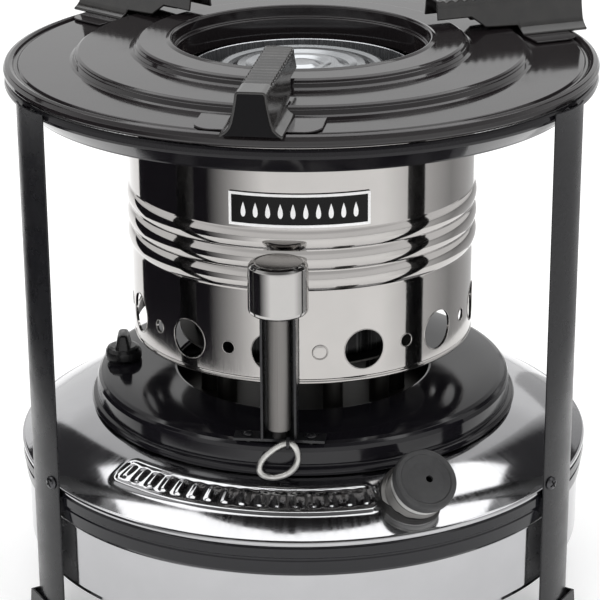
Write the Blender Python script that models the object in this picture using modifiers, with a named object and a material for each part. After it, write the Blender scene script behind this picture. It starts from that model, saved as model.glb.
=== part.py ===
"""Ten-wick kerosene stove, free standing on three legs.

Metres, Z up. The origin is on the ground, on the axis of the tank. The front,
with the control knob, faces -Y. An azimuth runs from the front towards +X.
Sizes below are in millimetres.
"""
import math

import bmesh
import bpy
from mathutils import Matrix, Vector

for old in list(bpy.data.objects):
    bpy.data.objects.remove(old)

MM = 0.001
STEPS = 32                      # facets round the large turned pieces

# Tank
TANK_R = 129.2                  # outer wall
TANK_BOTTOM = 21.0
FLOOR_TOP = 24.0
DOME_EDGE_R = 131.8
DOME_TOP = 84.55
SHEET = 1.1

# Top plate
PLATE_R = 132.3
COLLAR_R = 55.6
COLLAR_BOTTOM = 239.4
LAND_1, LAND_2, LAND_3 = 254.5, 250.5, 246.5

# Burner
DRUM_R = 78.3
DRUM_TOP, DRUM_BOTTOM = 236.0, 119.1
WINDOW_R, WINDOW_Z = 9.0, 133.8
PORT_R, PORT_Z = 2.85, 134.0
WICKS = 10
WICK_CIRCLE = 43.0
WICK_R = 3.2

# Control column
COLUMN_R, COLUMN_AZ = 93.0, -6.42
KNOB_R, KNOB_BOTTOM, KNOB_TOP = 12.9, 158.2, 181.0
RING_PIVOT_R, RING_PIVOT_Z = 99.6, 100.9
RING_T = 4.6                    # place of the ring's eye along the circle
RING_WIRE = 3.0

# Filler
FILLER_TILT, FILLER_AZ = 45.0, 24.3
CAP_TOP_R, CAP_TOP_AZ, CAP_TOP_Z = 127.0, 24.15, 91.6
NECK_BORE = 9.2

# Legs and supports
LEG_AZ = {"left": -59.5, "right": 57.6, "rear": 180.0}
LEG_FRONT_SIDE = {"left": 1, "right": -1, "rear": 1}
LEG_FACE = 135.4
LEG_HALF_WIDTH = 13.2
LEG_ARC = 38.0
LEG_THICK = 1.0
SCREW_U, SCREW_Z = 9.0, 72.3
SUPPORT_AZ = {"front": -8.5, "right": 111.5, "left": -133.0}
SUPPORT_TOP = 266.0

SIDE_KNOB_R, SIDE_KNOB_AZ = 84.0, -92.0


# --- helpers ---------------------------------------------------------------

def new_collection(name):
    coll = bpy.data.collections.new(name)
    bpy.context.scene.collection.children.link(coll)
    return coll


PARTS = new_collection("kerosene_wick_stove")
CUTTERS = new_collection("kerosene_wick_stove_cutters")


def material(name, colour, roughness, metallic):
    mat = bpy.data.materials.new(name)
    mat.use_nodes = True
    shader = mat.node_tree.nodes["Principled BSDF"]
    shader.inputs["Base Color"].default_value = (*colour, 1.0)
    shader.inputs["Roughness"].default_value = roughness
    shader.inputs["Metallic"].default_value = metallic
    mat.diffuse_color = (*colour, 1.0)
    return mat


def turned(az):
    """Frame of a radial plane: X along the circle, -Y outwards."""
    return Matrix.Rotation(math.radians(az), 4, 'Z')


def polar(radius, az, z=0.0):
    a = math.radians(az)
    return Vector((radius * math.sin(a), -radius * math.cos(a), z)) * MM


def link(obj, finish=None, tool=False):
    (CUTTERS if tool else PARTS).objects.link(obj)
    if tool:
        obj.hide_render = True
        obj.display_type = 'WIRE'
    if finish is not None:
        base = finish
        obj.data.materials.append(
            material(obj.name, base[0], base[1], base[2]))
    return obj


def smooth(obj, angle=32.0):
    obj.data.shade_smooth()
    obj.data.set_sharp_from_angle(angle=math.radians(angle))


def lathe(name, profile, steps, finish=None, matrix=None, closed=True, tool=False):
    """Turn a (radius, height) profile round Z."""
    mesh = bpy.data.meshes.new(name)
    points = [(r * MM, 0.0, z * MM) for r, z in profile]
    edges = [(i, i + 1) for i in range(len(points) - 1)]
    if closed:
        edges.append((len(points) - 1, 0))
    mesh.from_pydata(points, edges, [])
    obj = bpy.data.objects.new(name, mesh)
    link(obj, finish, tool)
    screw = obj.modifiers.new("Turn", 'SCREW')
    screw.steps = steps
    screw.render_steps = steps
    screw.use_merge_vertices = True
    screw.merge_threshold = 0.00001
    screw.use_smooth_shade = True
    if matrix is not None:
        obj.matrix_world = matrix
    return obj


def add_cylinder(bm, radius, start, end, segments):
    start, end = Vector(start) * MM, Vector(end) * MM
    axis = end - start
    turn = axis.to_track_quat('Z', 'Y').to_matrix().to_4x4()
    bmesh.ops.create_cone(
        bm, cap_ends=True, segments=segments, radius1=radius * MM,
        radius2=radius * MM, depth=axis.length,
        matrix=Matrix.Translation((start + end) / 2) @ turn)


def add_box(bm, low, high):
    low, high = Vector(low) * MM, Vector(high) * MM
    size = high - low
    bmesh.ops.create_cube(
        bm, size=1.0,
        matrix=Matrix.Translation((low + high) / 2) @ Matrix.Diagonal((*size, 1.0)))


def add_tapered_box(bm, bottom, top, z0, z1):
    """Box whose bottom and top rectangles (x0, x1, y0, y1) differ."""
    made = bmesh.ops.create_cube(bm, size=2.0)
    for vert in made["verts"]:
        x0, x1, y0, y1 = bottom if vert.co.z < 0 else top
        vert.co = Vector((x1 if vert.co.x > 0 else x0,
                          y1 if vert.co.y > 0 else y0,
                          z0 if vert.co.z < 0 else z1)) * MM


def solid(name, bm, finish=None, matrix=None, tool=False, round_piece=False):
    mesh = bpy.data.meshes.new(name)
    bm.to_mesh(mesh)
    bm.free()
    obj = bpy.data.objects.new(name, mesh)
    link(obj, finish, tool)
    if round_piece:
        smooth(obj)
    if matrix is not None:
        obj.matrix_world = matrix
    return obj


def rods(name, radius, ends, segments, finish=None, matrix=None, tool=False):
    """One or more cylinders, each between two points."""
    bm = bmesh.new()
    for start, end in ends:
        add_cylinder(bm, radius, start, end, segments)
    return solid(name, bm, finish, matrix, tool, round_piece=not tool)


def box(name, low, high, finish=None, matrix=None, tool=False):
    bm = bmesh.new()
    add_box(bm, low, high)
    return solid(name, bm, finish, matrix, tool)


def mesh_of(curve_obj, finish=None, tool=False):
    """Closed mesh object in place of a curve object."""
    bpy.context.view_layer.update()
    graph = bpy.context.evaluated_depsgraph_get()
    mesh = bpy.data.meshes.new_from_object(curve_obj.evaluated_get(graph))
    bm = bmesh.new()
    bm.from_mesh(mesh)
    bmesh.ops.remove_doubles(bm, verts=bm.verts, dist=0.00001)
    bmesh.ops.recalc_face_normals(bm, faces=bm.faces)
    bm.to_mesh(mesh)
    bm.free()
    name, place = curve_obj.name, curve_obj.matrix_world.copy()
    bpy.data.objects.remove(curve_obj)
    obj = bpy.data.objects.new(name, mesh)
    link(obj, finish, tool)
    obj.matrix_world = place
    return obj


def outline(name, points, low, high, finish=None, matrix=None, tool=False):
    """Flat outline in local X-Y, extruded from local Z low to high."""
    curve = bpy.data.curves.new(name, 'CURVE')
    curve.dimensions = '2D'
    curve.fill_mode = 'BOTH'
    curve.extrude = (high - low) / 2 * MM
    spline = curve.splines.new('POLY')
    spline.points.add(len(points) - 1)
    for point, (x, y) in zip(spline.points, points):
        point.co = (x * MM, y * MM, 0.0, 1.0)
    spline.use_cyclic_u = True
    obj = bpy.data.objects.new(name, curve)
    PARTS.objects.link(obj)
    place = Matrix.Translation((0.0, 0.0, (high + low) / 2 * MM))
    obj.matrix_world = place if matrix is None else matrix @ place
    return mesh_of(obj, finish, tool)


def wire(name, points, diameter, finish, matrix=None):
    """Closed loop of round wire through the points."""
    curve = bpy.data.curves.new(name, 'CURVE')
    curve.dimensions = '3D'
    curve.bevel_depth = diameter / 2 * MM
    curve.bevel_resolution = 2
    curve.use_fill_caps = True
    spline = curve.splines.new('POLY')
    spline.points.add(len(points) - 1)
    for point, co in zip(spline.points, points):
        point.co = (*(Vector(co) * MM), 1.0)
    spline.use_cyclic_u = True
    obj = bpy.data.objects.new(name, curve)
    PARTS.objects.link(obj)
    if matrix is not None:
        obj.matrix_world = matrix
    made = mesh_of(obj, finish)
    smooth(made, 60.0)
    return made


def boolean(obj, other, operation):
    step = obj.modifiers.new(other.name, 'BOOLEAN')
    step.operation = operation
    step.solver = 'EXACT'
    step.object = other


def cut(obj, other):
    boolean(obj, other, 'DIFFERENCE')


def join(obj, other):
    boolean(obj, other, 'UNION')


def axis_empty(name, matrix, *pieces):
    """Empty on a joint's axis that carries the moving pieces."""
    empty = bpy.data.objects.new(name, None)
    empty.empty_display_type = 'SINGLE_ARROW'
    empty.empty_display_size = 0.03
    PARTS.objects.link(empty)
    empty.matrix_world = matrix
    for piece in pieces:
        piece.parent = empty
        piece.matrix_parent_inverse = matrix.inverted()
    return empty


# Frames whose local X runs outwards and local Y up (the outline's plane).
def side_frame(az):
    return (Matrix.Rotation(math.radians(az - 90.0), 4, 'Z')
            @ Matrix.Rotation(math.radians(90.0), 4, 'X'))


# Frame whose local Z runs outwards, X along the circle and Y up.
def end_frame(az):
    return turned(az) @ Matrix.Rotation(math.radians(90.0), 4, 'X')


CHROME = ((0.72, 0.72, 0.73), 0.09, 1.0)
CHROME_TANK = ((0.66, 0.66, 0.67), 0.14, 1.0)
SATIN = ((0.52, 0.52, 0.53), 0.34, 1.0)
ENAMEL = ((0.012, 0.012, 0.015), 0.12, 0.0)
PAINT = ((0.018, 0.018, 0.020), 0.34, 0.0)
ZINC = ((0.62, 0.61, 0.58), 0.32, 1.0)
DARK_STEEL = ((0.20, 0.18, 0.16), 0.45, 1.0)
PLASTIC = ((0.055, 0.055, 0.057), 0.50, 0.0)
RUBBER = ((0.02, 0.02, 0.02), 0.75, 0.0)
COTTON = ((0.78, 0.74, 0.66), 0.92, 0.0)
LABEL = ((0.015, 0.015, 0.016), 0.30, 0.0)


# --- tank --------------------------------------------------------------------

def dome_z(radius):
    """Height of the top shell's outer face."""
    if radius <= 97.0:
        return DOME_TOP
    t = (radius - 97.0) / 34.0
    return DOME_TOP - 15.3 * t + 8.8 * t * (1.0 - t)


tank_bowl = lathe("tank_bowl", [
    (123.0, FLOOR_TOP), (124.6, FLOOR_TOP), (127.9, 27.0), (127.9, 51.8),
    (126.3, 53.4), (126.3, 66.2), (127.5, 66.2), (127.5, 53.1),
    (TANK_R, 52.7), (129.0, 23.4), (126.6, TANK_BOTTOM), (124.0, TANK_BOTTOM),
    (123.0, 22.3)], STEPS, CHROME_TANK)
tank_floor = lathe("tank_floor", [
    (0.0, FLOOR_TOP), (122.4, FLOOR_TOP), (122.4, 22.8), (0.0, 22.8)],
    STEPS, CHROME_TANK, closed=False)

dome_radii = [98.0, 103.0, 109.5, 116.5, 124.0, 130.6]
tank_dome = lathe(
    "tank_dome",
    [(60.0, DOME_TOP), (96.2, DOME_TOP)]
    + [(r, dome_z(r)) for r in dome_radii]
    + [(DOME_EDGE_R, 68.6), (131.2, 67.3), (128.9, 67.3), (128.9, 69.6)]
    + [(r - 0.45, dome_z(r) - SHEET) for r in reversed(dome_radii[:-1])]
    + [(96.0, DOME_TOP - SHEET - 0.05), (60.0, DOME_TOP - SHEET - 0.05)],
    STEPS, CHROME_TANK)

column = Matrix.Translation(polar(COLUMN_R, COLUMN_AZ))
cut(tank_dome, rods("dome_spindle_hole", 1.9, [((0, 0, 60), (0, 0, 110))], 12,
                    matrix=column, tool=True))

tilt = math.radians(FILLER_TILT)
filler_axis = polar(math.sin(tilt), FILLER_AZ, math.cos(tilt)).normalized()
filler = (Matrix.Translation(polar(CAP_TOP_R, CAP_TOP_AZ, CAP_TOP_Z))
          @ filler_axis.to_track_quat('Z', 'Y').to_matrix().to_4x4())
cut(tank_dome, rods("dome_filler_hole", NECK_BORE, [((0, 0, -42), (0, 0, -8))], 20,
                    matrix=filler, tool=True))

# Screw axis: square to the strip's curved face, Z pointing outwards.
def screw_place(side):
    lean = math.asin(SCREW_U / LEG_ARC)
    s = LEG_FRONT_SIDE[side]
    height = LEG_FACE - LEG_ARC + LEG_ARC * math.cos(lean) + 0.15
    return (turned(LEG_AZ[side])
            @ Matrix.Translation(Vector((s * SCREW_U, -height, SCREW_Z)) * MM)
            @ Matrix.Rotation(s * lean, 4, 'Z')
            @ Matrix.Rotation(math.radians(90.0), 4, 'X'))


seam_band = lathe("seam_band", [
    (130.8, 67.0), (131.6, 66.3), (131.6, 62.4), (130.7, 61.6), (130.7, 60.8),
    (131.1, 60.2), (130.5, 54.6), (129.8, 53.4), (127.8, 53.4), (127.8, 67.0)],
    STEPS, PAINT)
for side, az in LEG_AZ.items():
    s = LEG_FRONT_SIDE[side]
    low, high = sorted((-s * 3.0, -s * 11.6))
    join(seam_band, outline(
        "seam_lug_" + side,
        [(128.5, 58.0), (132.35, 58.0), (132.35, 77.0), (131.75, 77.0),
         (131.75, 65.5), (128.5, 65.5)],
        low, high, matrix=side_frame(az), tool=True))
    cut(seam_band, rods("seam_lug_hole_" + side, 1.9,
                        [((0, 0, -4.4), (0, 0, 2))], 12, matrix=screw_place(side),
                        tool=True))


# --- legs, boots and screws ----------------------------------------------------

def leg_section():
    centre = LEG_FACE - LEG_ARC
    reach = math.asin(LEG_HALF_WIDTH / LEG_ARC)
    angles = [reach * (i / 3.0 - 1.0) for i in range(7)]
    outer = [(LEG_ARC * math.sin(a), -(centre + LEG_ARC * math.cos(a))) for a in angles]
    inner_arc = LEG_ARC - LEG_THICK
    inner = [(inner_arc * math.sin(a), -(centre + inner_arc * math.cos(a)))
             for a in reversed(angles)]
    return outer + inner


for side, az in LEG_AZ.items():
    s = LEG_FRONT_SIDE[side]
    place = turned(az)
    leg = outline("leg_" + side, leg_section(), 1.7, 241.2, PAINT, place)
    join(leg, box("leg_tongue_" + side, (-4.5, -134.8, 238.8), (4.5, -121.5, 240.0),
                  matrix=place, tool=True))
    cut(leg, rods("leg_hole_" + side, 1.9, [((0, 0, -5.5), (0, 0, 4.5))], 12,
                  matrix=screw_place(side), tool=True))

    bm = bmesh.new()
    add_tapered_box(bm, (-14.9, 14.9, -137.2, -128.0), (-14.4, 14.4, -136.7, -129.0),
                    0.0, 10.4)
    foot = solid("foot_" + side, bm, PAINT, place)
    bm = bmesh.new()
    add_tapered_box(bm, (-13.9, 13.9, -136.1, -120.0), (-13.45, 13.45, -135.75, -120.0),
                    1.4, 15.0)
    cut(foot, solid("foot_hollow_" + side, bm, matrix=place, tool=True))

    # pan head outside, shank through the strip and the lug
    screw_frame = screw_place(side)
    screw = lathe("leg_screw_" + side,
                  [(0.0, 1.6), (1.9, 1.5), (2.8, 0.8), (3.0, 0.0), (1.5, 0.0),
                   (1.5, -3.1), (0.0, -3.1)], 16, ZINC, screw_frame, closed=False)
    bm = bmesh.new()
    add_box(bm, (-1.9, -0.35, 0.9), (1.9, 0.35, 3.0))
    slot = solid("screw_slot_" + side, bm, matrix=screw_frame, tool=True)
    cut(screw, slot)
    bm = bmesh.new()
    add_box(bm, (-0.35, -1.9, 0.9), (0.35, 1.9, 3.0))
    cut(screw, solid("screw_cross_slot_" + side, bm, matrix=screw_frame, tool=True))


# --- top plate and its skirt -----------------------------------------------------

top_plate = lathe("top_plate", [
    (COLLAR_R, COLLAR_BOTTOM), (COLLAR_R, 249.3), (57.3, 249.8), (57.3, 254.0),
    (58.5, 255.2), (60.2, LAND_1), (71.9, LAND_1), (73.2, 253.9),
    (75.6, LAND_2), (98.9, LAND_2), (100.2, 249.9), (102.2, LAND_3),
    (125.3, LAND_3), (126.2, 245.5), (127.4, 245.5), (129.3, 247.2),
    (131.4, 246.6), (PLATE_R, 245.0), (132.1, 243.2), (131.2, 241.8),
    (130.2, 241.7),
    (129.3, 243.6), (128.2, 244.4), (124.6, 245.4), (102.8, 245.4),
    (99.6, 249.4), (76.4, 249.4), (72.9, 253.4), (59.6, 253.4),
    (58.4, 252.9), (58.4, 249.0), (56.7, 248.4), (56.7, COLLAR_BOTTOM)],
    STEPS, ENAMEL)

plate_skirt = lathe("plate_skirt", [
    (129.6, 241.3), (131.0, 241.3), (131.8, 240.2), (132.1, 238.6),
    (131.5, 237.2), (123.4, 230.3), (122.5, 229.2), (121.6, 229.9),
    (122.4, 231.0), (130.2, 237.9), (130.6, 239.2), (129.6, 240.4)],
    STEPS, ENAMEL)
for side, az in LEG_AZ.items():
    cut(plate_skirt, box("skirt_slot_" + side, (-5.2, -134.5, 238.3),
                         (5.2, -118.0, 240.6), matrix=turned(az), tool=True))


# --- pot supports ------------------------------------------------------------------

WALL = 1.0
HALF_SECTION = [(4.9, 266.0), (6.15, 265.2), (6.35, 263.0), (7.7, 256.0),
                (8.4, 253.0), (9.3, 251.0), (10.8, 249.4), (12.9, 248.0)]


def offset_path(path, distance):
    """Path shifted to its right-hand side, corners mitred."""
    shifted = []
    for i, (x, y) in enumerate(path):
        normals = []
        for a, b in ((i - 1, i), (i, i + 1)):
            if 0 <= a and b < len(path):
                dx, dy = path[b][0] - path[a][0], path[b][1] - path[a][1]
                length = math.hypot(dx, dy)
                normals.append((dy / length, -dx / length))
        nx = sum(n[0] for n in normals)
        ny = sum(n[1] for n in normals)
        scale = distance * len(normals) / (nx * nx + ny * ny)
        shifted.append((x + nx * scale, y + ny * scale))
    return shifted


def channel_section():
    outer = [(-t, z) for t, z in reversed(HALF_SECTION)] + HALF_SECTION
    inner = offset_path(outer, WALL)
    return outer + list(reversed(inner))


def pad_outline(r0, r1, half, corner):
    points = [(-half, -r0), (half, -r0)]
    for cx, start in ((half - corner, 0.0), (-(half - corner), 90.0)):
        for k in range(5):
            a = math.radians(start + 22.5 * k)
            points.append((cx + corner * math.cos(a),
                           -(r1 - corner) - corner * math.sin(a)))
    return points


for side, az in SUPPORT_AZ.items():
    support = outline("pot_support_" + side, channel_section(), 63.5, 136.5,
                      DARK_STEEL, end_frame(az))
    cut(support, outline(
        "support_relief_" + side,
        [(55.0, 240.0), (103.7, 240.0), (103.7, 251.5), (97.0, 251.7),
         (87.0, 252.2), (80.3, 257.2), (55.0, 257.2)],
        -30.0, 30.0, matrix=side_frame(az), tool=True))
    end_wall = [(t - 0.4, z - 0.4) for t, z in HALF_SECTION[:-1]] + [(12.4, 248.2)]
    join(support, outline("support_end_" + side,
                          [(-t, z) for t, z in reversed(end_wall)] + end_wall,
                          135.2, 136.2, matrix=end_frame(az), tool=True))
    join(support, outline("support_pad_" + side, pad_outline(104.2, 126.8, 26.0, 8.0),
                          246.85, 247.75, matrix=turned(az), tool=True))


# --- gallery between the tank and the burner ------------------------------------------

gallery = lathe("gallery", [
    (58.5, 98.3), (60.0, 99.6), (78.0, 99.9), (88.0, 99.2), (92.0, 98.6),
    (94.0, 97.9), (95.2, 96.7), (95.9, 95.0), (96.2, 89.5), (95.8, 88.9),
    (97.9, 87.7), (98.7, 86.5), (98.2, 84.9),
    (97.2, 84.9), (97.3, 86.2), (95.0, 87.5), (95.0, 94.4), (94.3, 96.0),
    (93.3, 96.9), (87.9, 98.1), (78.0, 98.8), (60.6, 98.5), (59.4, 97.4)],
    STEPS, ENAMEL)
in_column = turned(COLUMN_AZ)
cut(gallery, rods("gallery_spindle_hole", 1.8, [((0, 0, 80), (0, 0, 110))], 12,
                  matrix=column, tool=True))
rivet_spots = {"left": -13.5, "right": 13.5}
cut(gallery, rods("gallery_rivet_holes", 1.65,
                  [((t, -91.5, 94.0), (t, -91.5, 104.0)) for t in rivet_spots.values()],
                  12, matrix=in_column, tool=True))


# --- control column ---------------------------------------------------------------------

bracket = outline(
    "control_bracket",
    [(-7.7, -96.0), (-6.7, -96.0), (-6.7, -87.6), (6.7, -87.6), (6.7, -96.0),
     (7.7, -96.0), (7.7, -86.6), (-7.7, -86.6)],
    100.1, 157.0, PAINT, in_column)
join(bracket, box("bracket_foot", (-19.8, -95.6, 99.6), (19.8, -87.1, 100.8),
                  matrix=in_column, tool=True))
eye = []
for k in range(14):
    a = math.radians(-150.0 + 300.0 * k / 13.0)
    eye.append((RING_PIVOT_R + 2.8 * math.cos(a), RING_PIVOT_Z + 2.8 * math.sin(a)))
join(bracket, outline("bracket_ring_lug",
                      [(95.1, 100.6), (95.1, 99.0)] + eye + [(96.95, 100.6)],
                      -RING_T - 0.7, -RING_T + 0.7,
                      matrix=side_frame(COLUMN_AZ), tool=True))
cut(bracket, rods("bracket_ring_hole", 1.9,
                  [((2.0, -RING_PIVOT_R, RING_PIVOT_Z), (7.2, -RING_PIVOT_R, RING_PIVOT_Z))],
                  16, matrix=in_column, tool=True))
cut(bracket, rods("bracket_spindle_hole", 1.8, [((0, 0, 90), (0, 0, 101.5))], 12,
                  matrix=column, tool=True))
cut(bracket, rods("bracket_rivet_holes", 1.65,
                  [((t, -91.5, 94.0), (t, -91.5, 104.0)) for t in rivet_spots.values()],
                  12, matrix=in_column, tool=True))

for side, t in rivet_spots.items():
    lathe("bracket_rivet_" + side,
          [(0.0, 102.3), (1.4, 102.1), (2.25, 101.4), (2.25, 101.1), (1.3, 101.1),
           (1.3, 96.4), (0.0, 96.4)], 12, PAINT,
          in_column @ Matrix.Translation(Vector((t, -91.5, 0.0)) * MM), closed=False)

lathe("control_tube", [(5.1, 157.6), (5.1, 105.0), (3.0, 105.0), (3.0, 157.6)],
      20, SATIN, column)

spindle = lathe("control_spindle", [
    (0.0, 170.0), (2.5, 170.0), (2.5, 104.4), (3.6, 104.4), (3.6, 101.1),
    (1.4, 101.1), (1.4, 27.0), (0.0, 27.0)], 16, ZINC, column, closed=False)

knob = lathe("control_knob", [
    (0.0, KNOB_TOP), (10.4, KNOB_TOP), (12.1, 180.2), (KNOB_R, 178.6),
    (KNOB_R, 160.2), (12.1, 158.8), (10.6, KNOB_BOTTOM), (2.8, KNOB_BOTTOM),
    (2.8, 170.4), (0.0, 170.4)], 24, CHROME, column, closed=False)
axis_empty("control_axis", column, spindle, knob)


# Teardrop loop: narrow where it hangs in the lug, wide below.
def loop_points(count, half, drop, lean, skew):
    """Points in the column's frame, from the pivot down and back."""
    points = []
    for k in range(count):
        a = 2.0 * math.pi * k / count
        w = (1.0 - math.cos(a)) / 2.0
        wide = 0.62 + 0.50 * math.sin(a / 2.0) ** 1.5
        t = RING_T + half * math.sin(a) * wide + skew * w
        points.append((t, -(RING_PIVOT_R + lean * w), RING_PIVOT_Z - drop * w))
    return points


pull_ring = wire("pull_ring", loop_points(28, 8.2, 15.0, 2.6, -6.8), RING_WIRE - 0.1,
                 ZINC, in_column)
ring_pivot = in_column @ Matrix.Translation(Vector((0.0, -RING_PIVOT_R, RING_PIVOT_Z)) * MM)
axis_empty("ring_pivot", ring_pivot, pull_ring)


# --- side knob -----------------------------------------------------------------------------

side_place = Matrix.Translation(polar(SIDE_KNOB_R, SIDE_KNOB_AZ))
side_knob = lathe("side_knob", [
    (0.0, 106.6), (6.2, 106.6), (7.8, 105.6), (8.5, 103.8), (8.5, 100.2),
    (0.0, 100.2)], 24, PLASTIC, side_place, closed=False)
bm = bmesh.new()
add_tapered_box(bm, (-3.85, 3.85, -7.5, 7.5), (-2.2, 2.2, -5.2, 5.2), 104.0, 112.7)
join(side_knob, solid("side_knob_grip", bm, matrix=side_place, tool=True))
axis_empty("side_knob_axis", side_place, side_knob)


# --- filler and its cap ----------------------------------------------------------------------

neck = lathe("filler_neck", [
    (11.2, -4.6), (11.2, -10.3), (13.0, -10.3), (13.0, -16.5), (14.3, -17.6),
    (14.3, -34.0), (NECK_BORE, -34.0), (NECK_BORE, -4.6)], 24, SATIN, filler)
under_radii = [98.0, 103.0, 109.5, 116.5, 124.0, 130.6]
cut(neck, lathe("under_dome", [(80.0, DOME_TOP + 0.3), (96.2, DOME_TOP + 0.3)]
                + [(r, dome_z(r) + 0.3) for r in under_radii]
                + [(140.0, 62.0), (140.0, 40.0), (80.0, 40.0)], STEPS, tool=True))

gasket = lathe("cap_gasket", [(11.0, -3.7), (11.0, -4.3), (8.0, -4.3), (8.0, -3.7)],
               24, RUBBER, filler)
skirt = lathe("cap_skirt", [
    (11.5, -5.9), (13.4, -5.9), (13.4, -6.4), (12.8, -6.8), (12.8, -9.9),
    (11.5, -9.9)], 24, SATIN, filler)
cap = lathe("cap_top", [
    (0.0, -1.6), (9.8, -1.4), (11.2, 0.0), (13.0, 0.0), (13.8, -0.9), (13.8, -5.6),
    (11.5, -5.6), (11.5, -3.4), (0.0, -3.4)], 24, PLASTIC, filler, closed=False)
cut(cap, rods("cap_vent", 1.6, [((2.2, 0.3, -6.0), (2.2, 0.3, 2.0))], 12,
              matrix=filler, tool=True))
axis_empty("cap_lift", filler, gasket)
axis_empty("cap_axis", filler, skirt, cap)


# --- burner ----------------------------------------------------------------------------------

BEADS = (185.3, 176.0, 166.8)
wall = [(71.8, DRUM_TOP), (76.9, DRUM_TOP), (DRUM_R, 234.7), (DRUM_R, 190.4)]
for z in BEADS:
    wall += [(79.4, z + 1.4), (79.4, z - 1.4), (78.1, z - 4.6)]
wall += [(77.9, 121.4), (77.7, 119.4), (76.8, DRUM_BOTTOM), (76.9, 234.0),
         (76.2, 235.0), (71.8, 235.0)]
drum = lathe("burner_drum", wall, STEPS, CHROME)


def ring_of_rods(name, radius, z, azimuths, segments):
    bm = bmesh.new()
    for az in azimuths:
        a, b = polar(70.0, az, z) / MM, polar(86.0, az, z) / MM
        add_cylinder(bm, radius, a, b, segments)
    return solid(name, bm, tool=True)


cut(drum, ring_of_rods("drum_windows", WINDOW_R, WINDOW_Z,
                       [20.0 + 30.0 * k for k in range(12)], 12))
cut(drum, ring_of_rods("drum_ports", PORT_R, PORT_Z,
                       [5.4 + 30.0 * k for k in range(1, 12)], 6))

label_inner, label_outer = 78.75, 79.4
span = [-23.2 + 44.6 * k / 6.0 for k in range(7)]
label_points = ([(label_outer * math.sin(math.radians(a)), -label_outer * math.cos(math.radians(a)))
                 for a in span]
                + [(label_inner * math.sin(math.radians(a)), -label_inner * math.cos(math.radians(a)))
                   for a in reversed(span)])
label = outline("label_plate", label_points, 191.2, 206.0, LABEL)

outer_sleeve = lathe("outer_flame_sleeve",
                     [(50.4, 241.0), (50.4, 120.1), (49.5, 120.1), (49.5, 241.0)],
                     32, DARK_STEEL)
inner_sleeve = lathe("inner_flame_sleeve",
                     [(36.5, 238.6), (36.5, 120.1), (35.6, 120.1), (35.6, 238.6)],
                     32, DARK_STEEL)
spreader = lathe("flame_spreader", [
    (0.0, 243.3), (7.0, 243.3), (9.0, 242.0), (19.0, 242.4), (21.0, 241.4),
    (36.8, 241.6), (38.0, 240.6), (38.0, 239.0), (0.0, 239.0)], 32, DARK_STEEL,
    closed=False)

pin_ends = [((-76.4, 0.0, 150.0), (76.4, 0.0, 150.0))]
pin = rods("cross_pin", 1.3, pin_ends, 10, ZINC)
for sleeve in (outer_sleeve, inner_sleeve):
    cut(sleeve, rods(sleeve.name + "_pin_hole", 1.65, pin_ends, 10, tool=True))
axis_empty("burner_lift", Matrix.Identity(4), drum, label, outer_sleeve, inner_sleeve,
           spreader, pin)

wick_azimuths = [18.0 + 360.0 / WICKS * k for k in range(WICKS)]


def wick_ends(z0, z1):
    return [(polar(WICK_CIRCLE, az, z0) / MM, polar(WICK_CIRCLE, az, z1) / MM)
            for az in wick_azimuths]


burner_floor = lathe("burner_floor", [(0.0, 86.1), (66.0, 86.1), (66.0, 84.9), (0.0, 84.9)],
                     32, DARK_STEEL, closed=False)
burner_ring = lathe("burner_ring", [(34.0, 119.8), (57.0, 119.8), (57.0, 118.6), (34.0, 118.6)],
                    32, DARK_STEEL)
for plate in (burner_floor, burner_ring):
    cut(plate, rods(plate.name + "_holes", 4.95, wick_ends(60.0, 130.0), 8, tool=True))
for number, (start, end) in enumerate(wick_ends(68.0, 121.0), start=1):
    lathe("wick_tube_%02d" % number, [(4.6, 121.0), (4.6, 68.0), (3.9, 68.0), (3.9, 121.0)],
          8, DARK_STEEL, Matrix.Translation(polar(WICK_CIRCLE, wick_azimuths[number - 1])))


# --- wicks and their carrier --------------------------------------------------------------------

carrier = lathe("wick_carrier", [(34.0, 42.0), (52.0, 42.0), (52.0, 40.0), (34.0, 40.0)],
                32, ZINC)
join(carrier, box("carrier_arm", (-4.0, -90.0, 40.3), (4.0, -50.5, 41.7),
                  matrix=in_column, tool=True))
join(carrier, rods("carrier_bush", 5.0, [((0, 0, 36), (0, 0, 46))], 16,
                   matrix=column, tool=True))
cut(carrier, rods("carrier_bush_bore", 1.8, [((0, 0, 30), (0, 0, 50))], 12,
                  matrix=column, tool=True))
cut(carrier, rods("carrier_wick_holes", 3.75, wick_ends(36.0, 46.0), 8, tool=True))
wicks = []
for number, (start, end) in enumerate(wick_ends(25.5, 113.0), start=1):
    wicks.append(rods("wick_%02d" % number, WICK_R, [(start, end)], 8, COTTON))
axis_empty("wick_lift", column, carrier, *wicks)
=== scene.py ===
"""Looks of a ten-wick kerosene stove: fine surfaces, materials, light and camera."""
import math

import bmesh
import bpy
import numpy as np
from mathutils import Matrix, Vector


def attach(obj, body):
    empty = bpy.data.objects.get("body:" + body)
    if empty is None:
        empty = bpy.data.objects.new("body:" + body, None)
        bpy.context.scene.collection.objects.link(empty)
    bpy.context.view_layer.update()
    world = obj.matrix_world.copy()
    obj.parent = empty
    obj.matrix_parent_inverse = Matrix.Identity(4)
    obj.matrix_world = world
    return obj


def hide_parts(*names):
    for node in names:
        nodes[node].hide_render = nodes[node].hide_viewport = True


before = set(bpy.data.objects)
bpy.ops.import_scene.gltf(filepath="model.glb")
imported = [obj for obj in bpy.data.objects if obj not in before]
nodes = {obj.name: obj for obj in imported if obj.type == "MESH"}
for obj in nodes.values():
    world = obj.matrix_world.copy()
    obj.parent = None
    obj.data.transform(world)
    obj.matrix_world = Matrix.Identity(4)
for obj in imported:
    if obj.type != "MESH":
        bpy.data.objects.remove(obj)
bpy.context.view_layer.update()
scene = bpy.context.scene
MM = 0.001
ROUND = 192                     # facets round the large turned pieces


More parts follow.
